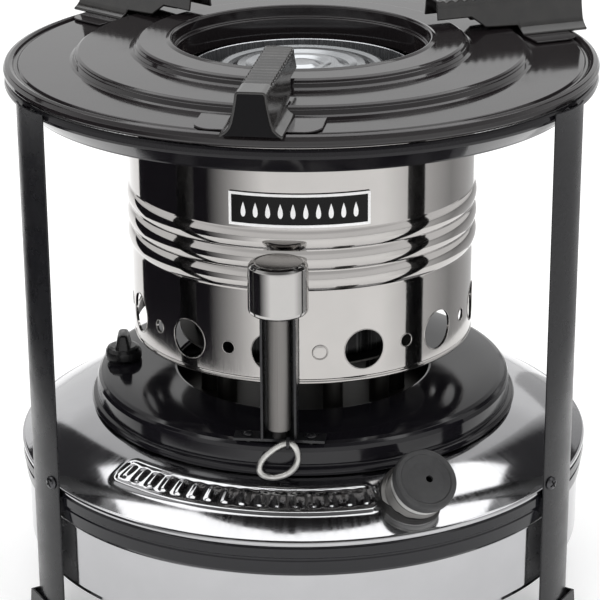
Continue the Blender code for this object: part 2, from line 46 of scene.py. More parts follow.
# --- material nodes ------------------------------------------------------------------------

class Mat:
    """A Principled material with helpers for procedural detail in object space."""

    def __init__(self, name, colour, rough, metal=0.0, **sockets):
        self.mat = bpy.data.materials.new(name)
        self.mat.use_nodes = True
        self.tree = self.mat.node_tree
        self.bsdf = self.tree.nodes["Principled BSDF"]
        self.bsdf.inputs["Base Color"].default_value = (*colour, 1.0)
        self.bsdf.inputs["Roughness"].default_value = rough
        self.bsdf.inputs["Metallic"].default_value = metal
        for key, value in sockets.items():
            self.bsdf.inputs[key.replace("_", " ")].default_value = value
        self.coord = self.node("ShaderNodeTexCoord").outputs["Object"]
        self.bump_out = None

    def node(self, kind, **props):
        n = self.tree.nodes.new(kind)
        for key, value in props.items():
            setattr(n, key, value)
        return n

    def link(self, a, b):
        self.tree.links.new(a, b)

    def mapped(self, scale=(1, 1, 1), turn=(0, 0, 0)):
        m = self.node("ShaderNodeMapping")
        m.inputs["Scale"].default_value = scale
        m.inputs["Rotation"].default_value = turn
        self.link(self.coord, m.inputs["Vector"])
        return m.outputs["Vector"]

    def around(self, per_turn, per_metre):
        """Coordinates (angle * per_turn, height * per_metre, 0) round the object's Z axis."""
        sep = self.node("ShaderNodeSeparateXYZ")
        self.link(self.coord, sep.inputs[0])
        ang = self.node("ShaderNodeMath", operation='ARCTAN2')
        self.link(sep.outputs["Y"], ang.inputs[0])
        self.link(sep.outputs["X"], ang.inputs[1])
        a = self.node("ShaderNodeMath", operation='MULTIPLY')
        self.link(ang.outputs[0], a.inputs[0])
        a.inputs[1].default_value = per_turn
        z = self.node("ShaderNodeMath", operation='MULTIPLY')
        self.link(sep.outputs["Z"], z.inputs[0])
        z.inputs[1].default_value = per_metre
        out = self.node("ShaderNodeCombineXYZ")
        self.link(a.outputs[0], out.inputs["X"])
        self.link(z.outputs[0], out.inputs["Y"])
        return out.outputs[0]

    def rings(self, per_metre):
        """Coordinates that change only with the distance from the Z axis."""
        sep = self.node("ShaderNodeSeparateXYZ")
        self.link(self.coord, sep.inputs[0])
        flat = self.node("ShaderNodeCombineXYZ")
        self.link(sep.outputs["X"], flat.inputs["X"])
        self.link(sep.outputs["Y"], flat.inputs["Y"])
        length = self.node("ShaderNodeVectorMath", operation='LENGTH')
        self.link(flat.outputs[0], length.inputs[0])
        r = self.node("ShaderNodeMath", operation='MULTIPLY')
        self.link(length.outputs["Value"], r.inputs[0])
        r.inputs[1].default_value = per_metre
        out = self.node("ShaderNodeCombineXYZ")
        self.link(r.outputs[0], out.inputs["X"])
        return out.outputs[0]

    def noise(self, scale, vector=None, detail=3.0, rough=0.5):
        n = self.node("ShaderNodeTexNoise")
        n.inputs["Scale"].default_value = scale
        n.inputs["Detail"].default_value = detail
        n.inputs["Roughness"].default_value = rough
        self.link(vector or self.coord, n.inputs["Vector"])
        return n.outputs["Fac"]

    def ramp(self, fac, stops):
        r = self.node("ShaderNodeValToRGB")
        els = r.color_ramp.elements
        for i, (pos, col) in enumerate(stops):
            e = els[i] if i < 2 else els.new(pos)
            e.position = pos
            c = col if isinstance(col, tuple) else (col, col, col)
            e.color = (*c, 1.0)
        self.link(fac, r.inputs[0])
        return r.outputs["Color"]

    def colour(self, fac, stops):
        self.link(self.ramp(fac, stops), self.bsdf.inputs["Base Color"])
        return self

    def rough(self, fac, low, high, a=0.3, b=0.7):
        m = self.node("ShaderNodeMapRange")
        m.inputs["From Min"].default_value = a
        m.inputs["From Max"].default_value = b
        m.inputs["To Min"].default_value = low
        m.inputs["To Max"].default_value = high
        self.link(fac, m.inputs["Value"])
        self.link(m.outputs[0], self.bsdf.inputs["Roughness"])
        return self

    def bump(self, fac, height_mm, strength=1.0):
        b = self.node("ShaderNodeBump")
        b.inputs["Distance"].default_value = height_mm * MM
        b.inputs["Strength"].default_value = strength
        self.link(fac, b.inputs["Height"])
        if self.bump_out is not None:
            self.link(self.bump_out, b.inputs["Normal"])
        self.bump_out = b.outputs["Normal"]
        self.link(self.bump_out, self.bsdf.inputs["Normal"])
        return self


def enamel(name, base=(0.010, 0.0095, 0.012), rough=(0.07, 0.16), gloss=0.42):
    m = Mat(name, base, 0.1, 0.0, Specular_IOR_Level=gloss)
    m.colour(m.noise(1400.0, detail=2), [(0.35, base), (0.78, tuple(1.5 * c for c in base)),
                                         (0.80, (0.05, 0.05, 0.052))])
    m.rough(m.noise(38.0), *rough)
    m.bump(m.noise(240.0, detail=2), 0.006)
    m.bump(m.noise(22.0, detail=1), 0.05)
    return m.mat


def black_paint(name, base=(0.011, 0.011, 0.012), rough=(0.22, 0.34), gloss=0.5):
    m = Mat(name, base, 0.28, 0.0, Specular_IOR_Level=gloss)
    m.colour(m.noise(600.0, detail=4), [(0.3, tuple(0.8 * c for c in base)), (0.75, tuple(1.5 * c for c in base))])
    m.rough(m.noise(90.0, detail=4), *rough)
    m.bump(m.noise(1500.0, detail=2), 0.006)
    m.bump(m.noise(45.0, detail=1), 0.03)
    return m.mat


def chrome(name, base, rough, wobble=0.05, wobble_scale=9.0, per_turn=2.0):
    m = Mat(name, base, rough[0], 1.0)
    streak = m.noise(5.0, m.around(per_turn * 14.0, 18.0), detail=4)
    m.rough(streak, *rough)
    tint = m.noise(60.0, detail=3)
    m.colour(tint, [(0.3, tuple(0.95 * c for c in base)), (0.7, base)])
    m.bump(m.noise(1.0, m.around(per_turn, wobble_scale), detail=1), wobble)
    m.bump(m.noise(900.0, detail=2), 0.0012)
    return m.mat


def drawn_steel(name, base, rough=(0.22, 0.42), lines=60.0, metal=1.0, depth=0.006):
    """Satin steel with fine lines along its length."""
    m = Mat(name, base, rough[0], metal)
    line = m.noise(1.0, m.around(lines, 3.0), detail=5, rough=0.7)
    m.rough(line, *rough)
    m.colour(line, [(0.28, tuple(0.35 * c for c in base)), (0.42, tuple(0.8 * c for c in base)),
                    (0.7, base)])
    m.bump(line, depth)
    return m.mat


def spun_steel(name, base, rough=(0.2, 0.4), metal=1.0, heat=None):
    """Sheet steel with turning marks, and a heat tint where given."""
    m = Mat(name, base, rough[0], metal)
    line = m.noise(1.0, m.rings(1600.0), detail=4, rough=0.7)
    patch = m.noise(45.0, detail=4)
    m.rough(line, *rough)
    if heat:
        m.colour(patch, [(0.3, heat), (0.5, base), (0.75, tuple(min(1.0, 1.2 * c) for c in base))])
    else:
        m.colour(patch, [(0.3, tuple(0.85 * c for c in base)), (0.7, base)])
    m.bump(line, 0.004)
    m.bump(m.noise(20.0, detail=1), 0.06)
    return m.mat


def zinc(name, base=(0.60, 0.59, 0.56)):
    m = Mat(name, base, 0.3, 1.0)
    m.colour(m.noise(260.0, detail=5), [(0.3, tuple(0.72 * c for c in base)), (0.7, base)])
    m.rough(m.noise(420.0, detail=3), 0.24, 0.42)
    m.bump(m.noise(700.0, detail=3), 0.01)
    return m.mat


def plastic(name, base=(0.052, 0.052, 0.054), rough=(0.42, 0.56)):
    m = Mat(name, base, 0.5, 0.0, Specular_IOR_Level=0.45)
    m.colour(m.noise(300.0, detail=4), [(0.3, tuple(0.85 * c for c in base)), (0.75, tuple(1.2 * c for c in base))])
    m.rough(m.noise(160.0, detail=3), *rough)
    m.bump(m.noise(2200.0, detail=2), 0.012)
    return m.mat


def cotton(name):
    m = Mat(name, (0.72, 0.68, 0.60), 0.95, 0.0, Sheen_Weight=0.35)
    weave = m.node("ShaderNodeTexWave", wave_type='BANDS', bands_direction='DIAGONAL')
    weave.inputs["Scale"].default_value = 420.0
    weave.inputs["Distortion"].default_value = 1.5
    m.link(m.coord, weave.inputs["Vector"])
    m.colour(weave.outputs["Fac"], [(0.0, (0.45, 0.41, 0.34)), (0.8, (0.76, 0.72, 0.64))])
    m.bump(weave.outputs["Fac"], 0.15)
    return m.mat


ENAMEL = enamel("gloss_enamel", (0.0065, 0.006, 0.0078))
PLATE_ENAMEL = enamel("plate_enamel", (0.0098, 0.0082, 0.0088), (0.06, 0.13), 0.44)
PAINT = black_paint("black_paint", (0.0085, 0.0085, 0.0098), (0.22, 0.34), 0.44)
BAND_PAINT = black_paint("band_paint", (0.0065, 0.0065, 0.0085), (0.10, 0.18), 0.42)
# darker, duller copy of the support enamel for the supports' folded end faces: painted shade
END_PAINTED_SHADE = enamel("end_painted_shade", (0.0032, 0.003, 0.0036), (0.08, 0.16), 0.10)
# darker, duller copy of the plate enamel for the skirt under the rim: painted shade
SKIRT_PAINTED_SHADE = enamel("skirt_painted_shade", (0.006, 0.0055, 0.0068), (0.07, 0.15), 0.26)
CHROME = chrome("drum_chrome", (0.478, 0.462, 0.448), (0.05, 0.10), 0.06, 10.0, 1.5)
TANK_CHROME = chrome("tank_chrome", (0.485, 0.485, 0.496), (0.07, 0.13), 0.10, 8.0, 1.2)
KNOB_CHROME = chrome("knob_chrome", (0.47, 0.46, 0.45), (0.08, 0.14), 0.01, 60.0, 1.0)
TUBE_STEEL = drawn_steel("tube_steel", (0.255, 0.245, 0.236), (0.40, 0.56), 26.0)
SPINDLE_STEEL = drawn_steel("spindle_steel", (0.042, 0.040, 0.040), (0.40, 0.56), 26.0)
NECK_STEEL = spun_steel("neck_steel", (0.24, 0.235, 0.228), (0.25, 0.42))
CAP_STEEL = spun_steel("cap_steel", (0.52, 0.52, 0.51), (0.22, 0.36))
SPREADER_STEEL = spun_steel("spreader_steel", (0.47, 0.485, 0.50), (0.16, 0.30))


def sleeve_steel():
    """Flame sleeve in fine upright streaks, with painted shade: near black deep in the drum, bare steel towards the
    rim.
    """
    m = Mat("sleeve_steel", (0.4, 0.4, 0.41), 0.3, 0.9)
    line = m.noise(1.0, m.around(26.0, 4.0), detail=4, rough=0.7)
    sep = m.node("ShaderNodeSeparateXYZ")
    m.link(m.coord, sep.inputs[0])
    # painted shade: mix from a near-black colour low in the drum to bare steel near the rim
    height = m.node("ShaderNodeMapRange")
    height.inputs["From Min"].default_value = 0.120
    height.inputs["From Max"].default_value = 0.242
    m.link(sep.outputs["Z"], height.inputs["Value"])
    painted_shade_fade = m.ramp(height.outputs[0], [(0.0, 0.0), (0.55, 0.04), (0.80, 0.75), (1.0, 1.0)])
    low = m.ramp(line, [(0.35, 0.006), (0.55, 0.012), (0.72, 0.085)])
    high = m.ramp(line, [(0.3, (0.36, 0.365, 0.38)), (0.7, (0.52, 0.53, 0.55))])
    mix = m.node("ShaderNodeMix", data_type='RGBA')
    m.link(painted_shade_fade, mix.inputs["Factor"])
    m.link(low, mix.inputs[6])
    m.link(high, mix.inputs[7])
    m.link(mix.outputs[2], m.bsdf.inputs["Base Color"])
    m.rough(line, 0.18, 0.34)
    m.bump(line, 0.01)
    return m.mat


SLEEVE_STEEL = sleeve_steel()
BASE_STEEL = drawn_steel("burner_steel", (0.075, 0.072, 0.068), (0.35, 0.5), 40.0)
ZINC = zinc("zinc_wire", (0.66, 0.655, 0.63))
SCREW_ZINC = zinc("screw_black", (0.10, 0.10, 0.105))
CAP_PLASTIC = plastic("cap_plastic", (0.034, 0.034, 0.035))
KNOB_PLASTIC = plastic("side_knob_plastic", (0.006, 0.006, 0.0066), (0.22, 0.32))
RUBBER = plastic("gasket_rubber", (0.02, 0.02, 0.02), (0.7, 0.8))
COTTON = cotton("wick_cotton")
LABEL_BLACK = enamel("label_black", (0.0035, 0.0035, 0.0035), (0.2, 0.3), 0.16)


def pale_print(name):
    m = Mat(name, (0.86, 0.86, 0.86), 0.4)
    m.colour(m.noise(500.0, detail=3), [(0.3, (0.90, 0.90, 0.90)), (0.7, (0.96, 0.96, 0.96))])
    m.bump(m.noise(1500.0), 0.003)
    return m.mat


LABEL_WHITE = pale_print("label_print")


# support enamel: near black with random tone, and glossy; the valleys look dark and the ribs greyer from how they catch
# the light
def rib_enamel():
    m = Mat("rib_enamel", (0.02, 0.019, 0.018), 0.2, 0.0, Specular_IOR_Level=0.6)
    m.colour(m.noise(160.0, detail=4), [(0.3, (0.010, 0.0095, 0.0095)), (0.75, (0.020, 0.0185, 0.017))])
    m.rough(m.noise(110.0, detail=3), 0.10, 0.20)
    m.bump(m.noise(900.0, detail=2), 0.006)
    m.bump(m.noise(60.0, detail=1), 0.04)
    return m.mat


RIB_ENAMEL = rib_enamel()


# --- mesh helpers ------------------------------------------------------------------------------

def add(name, mesh, material, body=None, replaces=(), matrix=None):
    obj = bpy.data.objects.new(name, mesh)
    scene.collection.objects.link(obj)
    obj.data.materials.clear()
    obj.data.materials.append(material)
    if matrix is not None:
        obj.matrix_world = matrix
    if body:
        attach(obj, body)
    if replaces:
        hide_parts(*replaces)
    return obj


def fillet(profile, radius, closed=True, steps=4):
    """Profile with its corners rounded."""
    pts = [Vector(p) for p in profile]
    out, n = [], len(pts)
    for i, b in enumerate(pts):
        if not closed and i in (0, n - 1):
            out.append(b)
            continue
        a, c = pts[i - 1], pts[(i + 1) % n]
        d1, d2 = (a - b), (c - b)
        l1, l2 = d1.length, d2.length
        turn = math.pi - d1.angle(d2)
        if turn < math.radians(9):
            out.append(b)
            continue
        t = min(radius * math.tan(turn / 2), 0.46 * l1, 0.46 * l2)
        p0, p2 = b + d1 / l1 * t, b + d2 / l2 * t
        k = max(2, round(steps * turn / math.radians(90)) + 1)
        for j in range(k + 1):
            s = j / k
            out.append((1 - s) ** 2 * p0 + 2 * s * (1 - s) * b + s * s * p2)
    return [(p.x, p.y) for p in out]


def profile_normals(profile, closed):
    pts = np.array(profile)
    n = len(pts)
    last = n if closed else n - 1
    seg = np.array([pts[(i + 1) % n] - pts[i] for i in range(last)])
    length = np.maximum(np.hypot(seg[:, 0], seg[:, 1]), 1e-9)
    nrm = np.stack([-seg[:, 1], seg[:, 0]], 1) / length[:, None]   # left of the path: outside
    start, end = nrm.copy(), nrm.copy()
    for i in range(last):
        for j, store in ((i - 1, start), (i + 1, end)):
            if closed:
                j %= last
            elif not 0 <= j < last:
                continue
            if nrm[i] @ nrm[j] > math.cos(math.radians(38)):
                w = nrm[i] * length[i] ** 1.5 + nrm[j] * length[j] ** 1.5
                store[i] = w / np.linalg.norm(w)
    return pts, seg, length, nrm, start, end


def turned_normals(mesh, profile, closed):
    """Exact normals of a turned surface, also where holes were cut in it."""
    pts, seg, length, nrm, start, end = profile_normals(profile, closed)
    n_loop = len(mesh.loops)
    vi = np.empty(n_loop, np.int32)
    mesh.loops.foreach_get("vertex_index", vi)
    co = np.empty(len(mesh.vertices) * 3)
    mesh.vertices.foreach_get("co", co)
    co = co.reshape(-1, 3) / MM
    fn = np.empty(len(mesh.polygons) * 3)
    mesh.polygons.foreach_get("normal", fn)
    fn = fn.reshape(-1, 3)
    total = np.empty(len(mesh.polygons), np.int32)
    mesh.polygons.foreach_get("loop_total", total)
    face = np.repeat(np.arange(len(total)), total)
    p = co[vi]
    rad = np.hypot(p[:, 0], p[:, 1])
    ux = np.where(rad > 1e-6, p[:, 0] / np.maximum(rad, 1e-6), 0.0)
    uy = np.where(rad > 1e-6, p[:, 1] / np.maximum(rad, 1e-6), 0.0)
    f = fn[face]
    cen = np.empty(len(mesh.polygons) * 3)
    mesh.polygons.foreach_get("center", cen)
    cen = cen.reshape(-1, 3)[face]
    cr = np.maximum(np.hypot(cen[:, 0], cen[:, 1]), 1e-9)
    fr = (f[:, 0] * cen[:, 0] + f[:, 1] * cen[:, 1]) / cr
    fz = f[:, 2]
    best = np.full(n_loop, 1e9)
    res = f.copy()
    for i in range(len(seg)):
        facing = fr * nrm[i, 0] + fz * nrm[i, 1]
        a = pts[i]
        t = ((rad - a[0]) * seg[i, 0] + (p[:, 2] - a[1]) * seg[i, 1]) / length[i] ** 2
        tc = np.clip(t, 0, 1)
        d = np.hypot(rad - a[0] - tc * seg[i, 0], p[:, 2] - a[1] - tc * seg[i, 1])
        score = d + (1 - facing) * 0.5
        use = (facing > 0.86) & (d < 0.12) & (score < best)
        m = start[i][None, :] * (1 - tc[:, None]) + end[i][None, :] * tc[:, None]
        m /= np.maximum(np.linalg.norm(m, axis=1, keepdims=True), 1e-9)
        res[use, 0] = (m[:, 0] * ux)[use]
        res[use, 1] = (m[:, 0] * uy)[use]
        res[use, 2] = m[:, 1][use]
        pole = use & (rad < 1e-6)
        res[pole] = (0.0, 0.0, 1.0)
        res[pole, 2] = np.sign(f[pole, 2])
        best[use] = score[use]
    mesh.shade_smooth()
    mesh.normals_split_custom_set([tuple(v) for v in res])


def turned_mesh(name, profile, steps=ROUND, closed=True, shift=None, span=(0.0, 360.0)):
    """Mesh turned round Z from a profile in mm whose outer side runs down."""
    pts = list(profile)
    ring_of, verts = [], []
    for r, z in pts:
        if r < 1e-6:
            ring_of.append([len(verts)] * steps)
            verts.append((0.0, 0.0, z * MM))
        else:
            ring = []
            for k in range(steps):
                a = 2 * math.pi * k / steps
                rr, zz = r, z
                if shift:
                    rr, zz = shift(r, z, a)
                ring.append(len(verts))
                verts.append((rr * math.sin(a) * MM, -rr * math.cos(a) * MM, zz * MM))
            ring_of.append(ring)
    faces = []
    last = len(pts) if closed else len(pts) - 1
    for i in range(last):
        a, b = ring_of[i], ring_of[(i + 1) % len(pts)]
        for k in range(steps):
            k2 = (k + 1) % steps
            quad = [a[k], b[k], b[k2], a[k2]]
            quad = list(dict.fromkeys(quad))
            if len(quad) > 2:
                faces.append(quad)
    mesh = bpy.data.meshes.new(name)
    mesh.from_pydata(verts, [], faces)
    mesh.validate()
    return mesh


def turned(name, profile, material, body, replaces=(), steps=ROUND, closed=True,
           matrix=None, cutters=(), radius=0.4, corner_steps=4, shift=None):
    prof = fillet(profile, radius, closed, corner_steps) if radius else list(profile)
    mesh = turned_mesh(name, prof, steps, closed, shift)
    obj = bpy.data.objects.new(name, mesh)
    scene.collection.objects.link(obj)
    if matrix is not None:
        obj.matrix_world = matrix
    if cutters:
        cut(obj, cutters)
    if shift is None:
        turned_normals(obj.data, prof, closed)
    else:
        obj.data.shade_smooth()
        obj.data.set_sharp_from_angle(angle=math.radians(35))
    obj.data.materials.clear()
    obj.data.materials.append(material)
    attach(obj, body)
    if replaces:
        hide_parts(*replaces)
    return obj


def cut(obj, cutters):
    """Cut closed meshes out of obj and keep the result as its mesh."""
    helpers = []
    for mesh, matrix in cutters:
        c = bpy.data.objects.new("cutter", mesh)
        scene.collection.objects.link(c)
        c.matrix_world = matrix
        mod = obj.modifiers.new("cut", 'BOOLEAN')
        mod.operation, mod.solver, mod.object = 'DIFFERENCE', 'EXACT', c
        helpers.append(c)
    bpy.context.view_layer.update()
    graph = bpy.context.evaluated_depsgraph_get()
    done = bpy.data.meshes.new_from_object(obj.evaluated_get(graph))
    obj.modifiers.clear()
    obj.data = done
    for c in helpers:
        bpy.data.objects.remove(c)


def cylinder_mesh(radius, ends, segments=48):
    bm = bmesh.new()
    for start, end in ends:
        start, end = Vector(start) * MM, Vector(end) * MM
        axis = end - start
        bmesh.ops.create_cone(
            bm, cap_ends=True, segments=segments, radius1=radius * MM, radius2=radius * MM,
            depth=axis.length,
            matrix=Matrix.Translation((start + end) / 2) @ axis.to_track_quat('Z', 'Y').to_matrix().to_4x4())
    mesh = bpy.data.meshes.new("cylinders")
    bm.to_mesh(mesh)
    bm.free()
    return mesh


def spin(az):
    return Matrix.Rotation(math.radians(az), 4, 'Z')


def polar(radius, az, z=0.0):
    a = math.radians(az)
    return Vector((radius * math.sin(a), -radius * math.cos(a), z)) * MM


def grid_mesh(name, rows, closed_u=False, closed_v=False):
    """Quads between equal rows of points in mm."""
    verts = [tuple(c * MM for c in p) for row in rows for p in row]
    w, h = len(rows[0]), len(rows)
    faces = []
    for i in range(h if closed_v else h - 1):
        for j in range(w if closed_u else w - 1):
            i2, j2 = (i + 1) % h, (j + 1) % w
            faces.append((i * w + j, i * w + j2, i2 * w + j2, i2 * w + j))
    mesh = bpy.data.meshes.new(name)
    mesh.from_pydata(verts, [], faces)
    mesh.validate()
    return mesh


def capped(mesh):
    """Close the open ends of a tube-like mesh and turn its faces out."""
    bm = bmesh.new()
    bm.from_mesh(mesh)
    edges = [e for e in bm.edges if e.is_boundary]
    if edges:
        bmesh.ops.holes_fill(bm, edges=edges, sides=0)
    bmesh.ops.recalc_face_normals(bm, faces=bm.faces)
    bm.to_mesh(mesh)
    bm.free()
    return mesh


def smooth(obj, angle=35.0):
    obj.data.shade_smooth()
    obj.data.set_sharp_from_angle(angle=math.radians(angle))
    return obj


def soften(obj, width=0.25, segments=2, angle=32.0):
    mod = obj.modifiers.new("Soft edges", 'BEVEL')
    mod.width = width * MM
    mod.segments = segments
    mod.limit_method = 'ANGLE'
    mod.angle_limit = math.radians(angle)
    mod.harden_normals = False
    return obj


def dress(node, material, bevel=None, segments=2):
    """Material, and soft edges if given, on a CAD node that stays."""
    obj = nodes[node]
    obj.data.materials.clear()
    obj.data.materials.append(material)
    if bevel:
        soften(obj, bevel, segments)
    return obj


def tube_mesh(name, path, radius, sides=16, closed=False):
    """Round wire along points in mm."""
    pts = [Vector(p) for p in path]
    n = len(pts)
    rows = []
    normal = None
    for i, p in enumerate(pts):
        if closed:
            tangent = (pts[(i + 1) % n] - pts[i - 1]).normalized()
        else:
            tangent = (pts[min(i + 1, n - 1)] - pts[max(i - 1, 0)]).normalized()
        if normal is None:
            normal = tangent.orthogonal().normalized()
        else:
            normal = (normal - tangent * normal.dot(tangent)).normalized()
        side = tangent.cross(normal)
        rows.append([tuple(p + radius * (math.cos(a) * normal + math.sin(a) * side))
                     for a in (2 * math.pi * k / sides for k in range(sides))])
    mesh = grid_mesh(name, rows, closed_u=True, closed_v=closed)
    return capped(mesh)


def outline_mesh(name, points, z0, z1):
    """Flat outline in X-Y, z0 to z1, in mm."""
    bm = bmesh.new()
    vs = [bm.verts.new((x * MM, y * MM, z0 * MM)) for x, y in points]
    face = bm.faces.new(vs)
    made = bmesh.ops.extrude_face_region(bm, geom=[face])
    up = [v for v in made["geom"] if isinstance(v, bmesh.types.BMVert)]
    bmesh.ops.translate(bm, verts=up, vec=(0, 0, (z1 - z0) * MM))
    bmesh.ops.recalc_face_normals(bm, faces=bm.faces)
    mesh = bpy.data.meshes.new(name)
    bm.to_mesh(mesh)
    bm.free()
    return mesh


# --- frames that the pieces share with the CAD ----------------------------------------------------

COLUMN_AZ = -6.42
column = Matrix.Translation(polar(93.0, COLUMN_AZ))
in_column = spin(COLUMN_AZ)
tilt = math.radians(45.0)
filler_axis = Vector((math.sin(tilt) * math.sin(math.radians(24.3)),
                      -math.sin(tilt) * math.cos(math.radians(24.3)), math.cos(tilt)))
filler = (Matrix.Translation(polar(127.0, 24.15, 91.6))
          @ filler_axis.to_track_quat('Z', 'Y').to_matrix().to_4x4())
LEG_AZ = {"left": -59.5, "right": 57.6, "rear": 180.0}
LEG_SIDE = {"left": 1, "right": -1, "rear": 1}
SUPPORT_AZ = {"front": -8.5, "right": 111.5, "left": -133.0}


# --- tank ---------------------------------------------------------------------------------------------

turned("bowl", [
    (123.0, 24.0), (124.6, 24.0), (127.9, 27.0), (127.9, 51.8), (126.3, 53.4), (126.3, 66.2),
    (127.5, 66.2), (127.5, 53.1), (129.0, 53.1), (129.2, 52.6), (129.1, 24.6), (128.3, 22.2),
    (126.6, 21.0), (124.0, 21.0), (123.0, 22.3)],
    TANK_CHROME, "stove_frame", ["tank_bowl"], radius=1.2, corner_steps=6)
turned("bowl_floor", [(0.0, 24.0), (122.7, 24.0), (122.7, 22.8), (0.0, 22.8)], TANK_CHROME,
       "stove_frame", ["tank_floor"], closed=False, radius=0.2)


def dome_z(r):
    if r <= 97.0:
        return 84.55
    t = (r - 97.0) / 34.0
    return 84.55 - 15.3 * t + 8.8 * t * (1 - t)


# plain pressed panel on the front of the dome: a rim with upright flutes inside
PANEL = (-46.0, 16.0, 104.5, 119.5)


def panel_height(r, a):
    az = math.degrees(a)
    az = az - 360.0 if az > 180.0 else az
    a0, a1, r0, r1 = PANEL
    mid_a, mid_r = (a0 + a1) / 2, (r0 + r1) / 2
    u = (az - mid_a) * math.pi / 180.0 * mid_r
    v = r - mid_r
    half_u, half_v = (a1 - a0) / 2 * math.pi / 180.0 * mid_r, (r1 - r0) / 2
    corner = 4.5
    qx, qy = abs(u) - half_u + corner, abs(v) - half_v + corner
    d = math.hypot(max(qx, 0), max(qy, 0)) + min(max(qx, qy), 0.0) - corner
    rim = math.exp(-((d + 1.2) / 1.15) ** 2)
    inside = 1.0 / (1.0 + math.exp(min(40.0, max(-40.0, (d + 3.6) / 0.45))))
    flute = 0.5 - 0.5 * math.cos(2 * math.pi * u / 7.4)
    return 0.75 * rim + 0.62 * inside * flute ** 1.3


def dome_shift(r, z, a):
    if z > 66.0 and abs(z - dome_z(r)) < 0.02 and 100.0 < r < 124.0:
        h = panel_height(r, a)
        return r + 0.41 * h, z + 0.91 * h
    return r, z


dome_r = [98.0 + 0.62 * i for i in range(54)]
dome_profile = ([(60.0, 84.55), (96.2, 84.55)] + [(r, dome_z(r)) for r in dome_r if r < 131.2]
                + [(131.55, 69.3), (131.8, 68.6), (131.75, 67.9), (131.45, 67.45), (131.0, 67.3),
                   (128.9, 67.3), (128.9, 69.4)]
                + [(r, dome_z(r) - 1.1) for r in reversed(dome_r[::4]) if r < 128.0]
                + [(96.0, 83.4), (60.0, 83.4)])
dome = turned("dome", dome_profile, TANK_CHROME, "stove_frame", ["tank_dome"],
              steps=720, radius=0, shift=dome_shift,
              cutters=[(cylinder_mesh(1.9, [((0, 0, 60), (0, 0, 110))], 24), column),
                       (cylinder_mesh(9.2, [((0, 0, -42), (0, 0, -8))], 64), filler)])

band = [(130.8, 67.0), (131.6, 66.3), (131.6, 62.4), (130.7, 61.6), (130.7, 60.8), (131.1, 60.2),
        (130.5, 54.6), (129.8, 53.4), (127.8, 53.4), (127.8, 67.0)]
turned("band", band, BAND_PAINT, "stove_frame", ["seam_band"], radius=0.35)
for side, az in LEG_AZ.items():
    s = LEG_SIDE[side]
    u0, u1 = sorted((s * 3.0, s * 11.6))
    bm = bmesh.new()
    for low, high in (((u0, -132.35, 58.0), (u1, -130.0, 65.5)), ((u0, -132.35, 62.0), (u1, -131.75, 77.0))):
        lo, hi = Vector(low) * MM, Vector(high) * MM
        bmesh.ops.create_cube(bm, size=1.0, matrix=Matrix.Translation((lo + hi) / 2)
                              @ Matrix.Diagonal((*(hi - lo), 1.0)))
    mesh = bpy.data.meshes.new("lug")
    bm.to_mesh(mesh)
    bm.free()
    lug = add("band_lug_" + side, mesh, BAND_PAINT, "stove_frame", ["seam_band"], spin(az))
    soften(lug, 0.2)


# --- legs, shoes and screws ---------------------------------------------------------------------------

def leg_ring(edge=0.42, arc=38.0, thick=1.0, half=13.2):
    """Closed section of the strip: convex outside, rounded edges."""
    centre = 135.4 - arc
    reach = math.asin(half / arc)
    out = []
    n = 22
    for i in range(n + 1):
        a = reach * (2 * i / n - 1) * (1 - 0.012)
        out.append((arc * math.sin(a), -(centre + arc * math.cos(a))))
    inner = arc - thick
    back = []
    for i in range(n + 1):
        a = reach * (1 - 2 * i / n) * (1 - 0.012)
        back.append((inner * math.sin(a), -(centre + inner * math.cos(a))))
    return fillet(out + back, edge, True, 4)


def screw_place(side):
    """Screw axis square to the strip's curved face, Z pointing outwards."""
    s, lean = LEG_SIDE[side], math.asin(9.0 / 38.0)
    height = 135.4 - 38.0 + 38.0 * math.cos(lean) + 0.15
    return (spin(LEG_AZ[side]) @ Matrix.Translation(Vector((s * 9.0, -height, 72.3)) * MM)
            @ Matrix.Rotation(s * lean, 4, 'Z') @ Matrix.Rotation(math.radians(90.0), 4, 'X'))


for side, az in LEG_AZ.items():
    ring = leg_ring()
    heights = [1.7, 2.0] + [2.0 + 238.9 * k / 40 for k in range(1, 40)] + [240.9, 241.2]
    rows = [[(x, y, z) for x, y in ring] for z in heights]
    mesh = capped(grid_mesh("strip", rows, closed_u=True))
    leg = bpy.data.objects.new("strip_" + side, mesh)
    scene.collection.objects.link(leg)
    leg.matrix_world = spin(az)
    cut(leg, [(cylinder_mesh(1.9, [((0, 0, -5.5), (0, 0, 4.5))], 24), screw_place(side))])
    leg.data.materials.clear()
    leg.data.materials.append(PAINT)
    smooth(leg, 40)
    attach(leg, "stove_frame")
    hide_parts("leg_" + side)
    tongue = add("tongue_" + side, outline_mesh("tongue", fillet(
        [(-4.5, -134.6), (4.5, -134.6), (4.5, -121.5), (-4.5, -121.5)], 0.8, True, 3), 238.8, 240.0),
        PAINT, "stove_frame", ["leg_" + side], spin(az))
    dress("foot_" + side, PAINT, 0.45, 3)

    screw_at = screw_place(side) @ Matrix.Rotation(math.radians(28.0), 4, 'Z')
    slots = []
    for size in ((3.9, 0.75), (0.75, 3.9)):
        slots.append((outline_mesh("slot", [(-size[0] / 2, -size[1] / 2), (size[0] / 2, -size[1] / 2),
                                            (size[0] / 2, size[1] / 2), (-size[0] / 2, size[1] / 2)], 0.75, 3.0),
                      screw_at))
    turned("screw_" + side, [(0.0, 1.6), (1.6, 1.5), (2.5, 1.1), (3.0, 0.4), (3.0, 0.0), (1.5, 0.0),
                             (1.5, -3.1), (0.0, -3.1)], SCREW_ZINC, "stove_frame",
           ["leg_screw_" + side], steps=40, closed=False, matrix=screw_at,
           cutters=slots, radius=0.3)


# --- top plate and skirt -----------------------------------------------------------------------------------

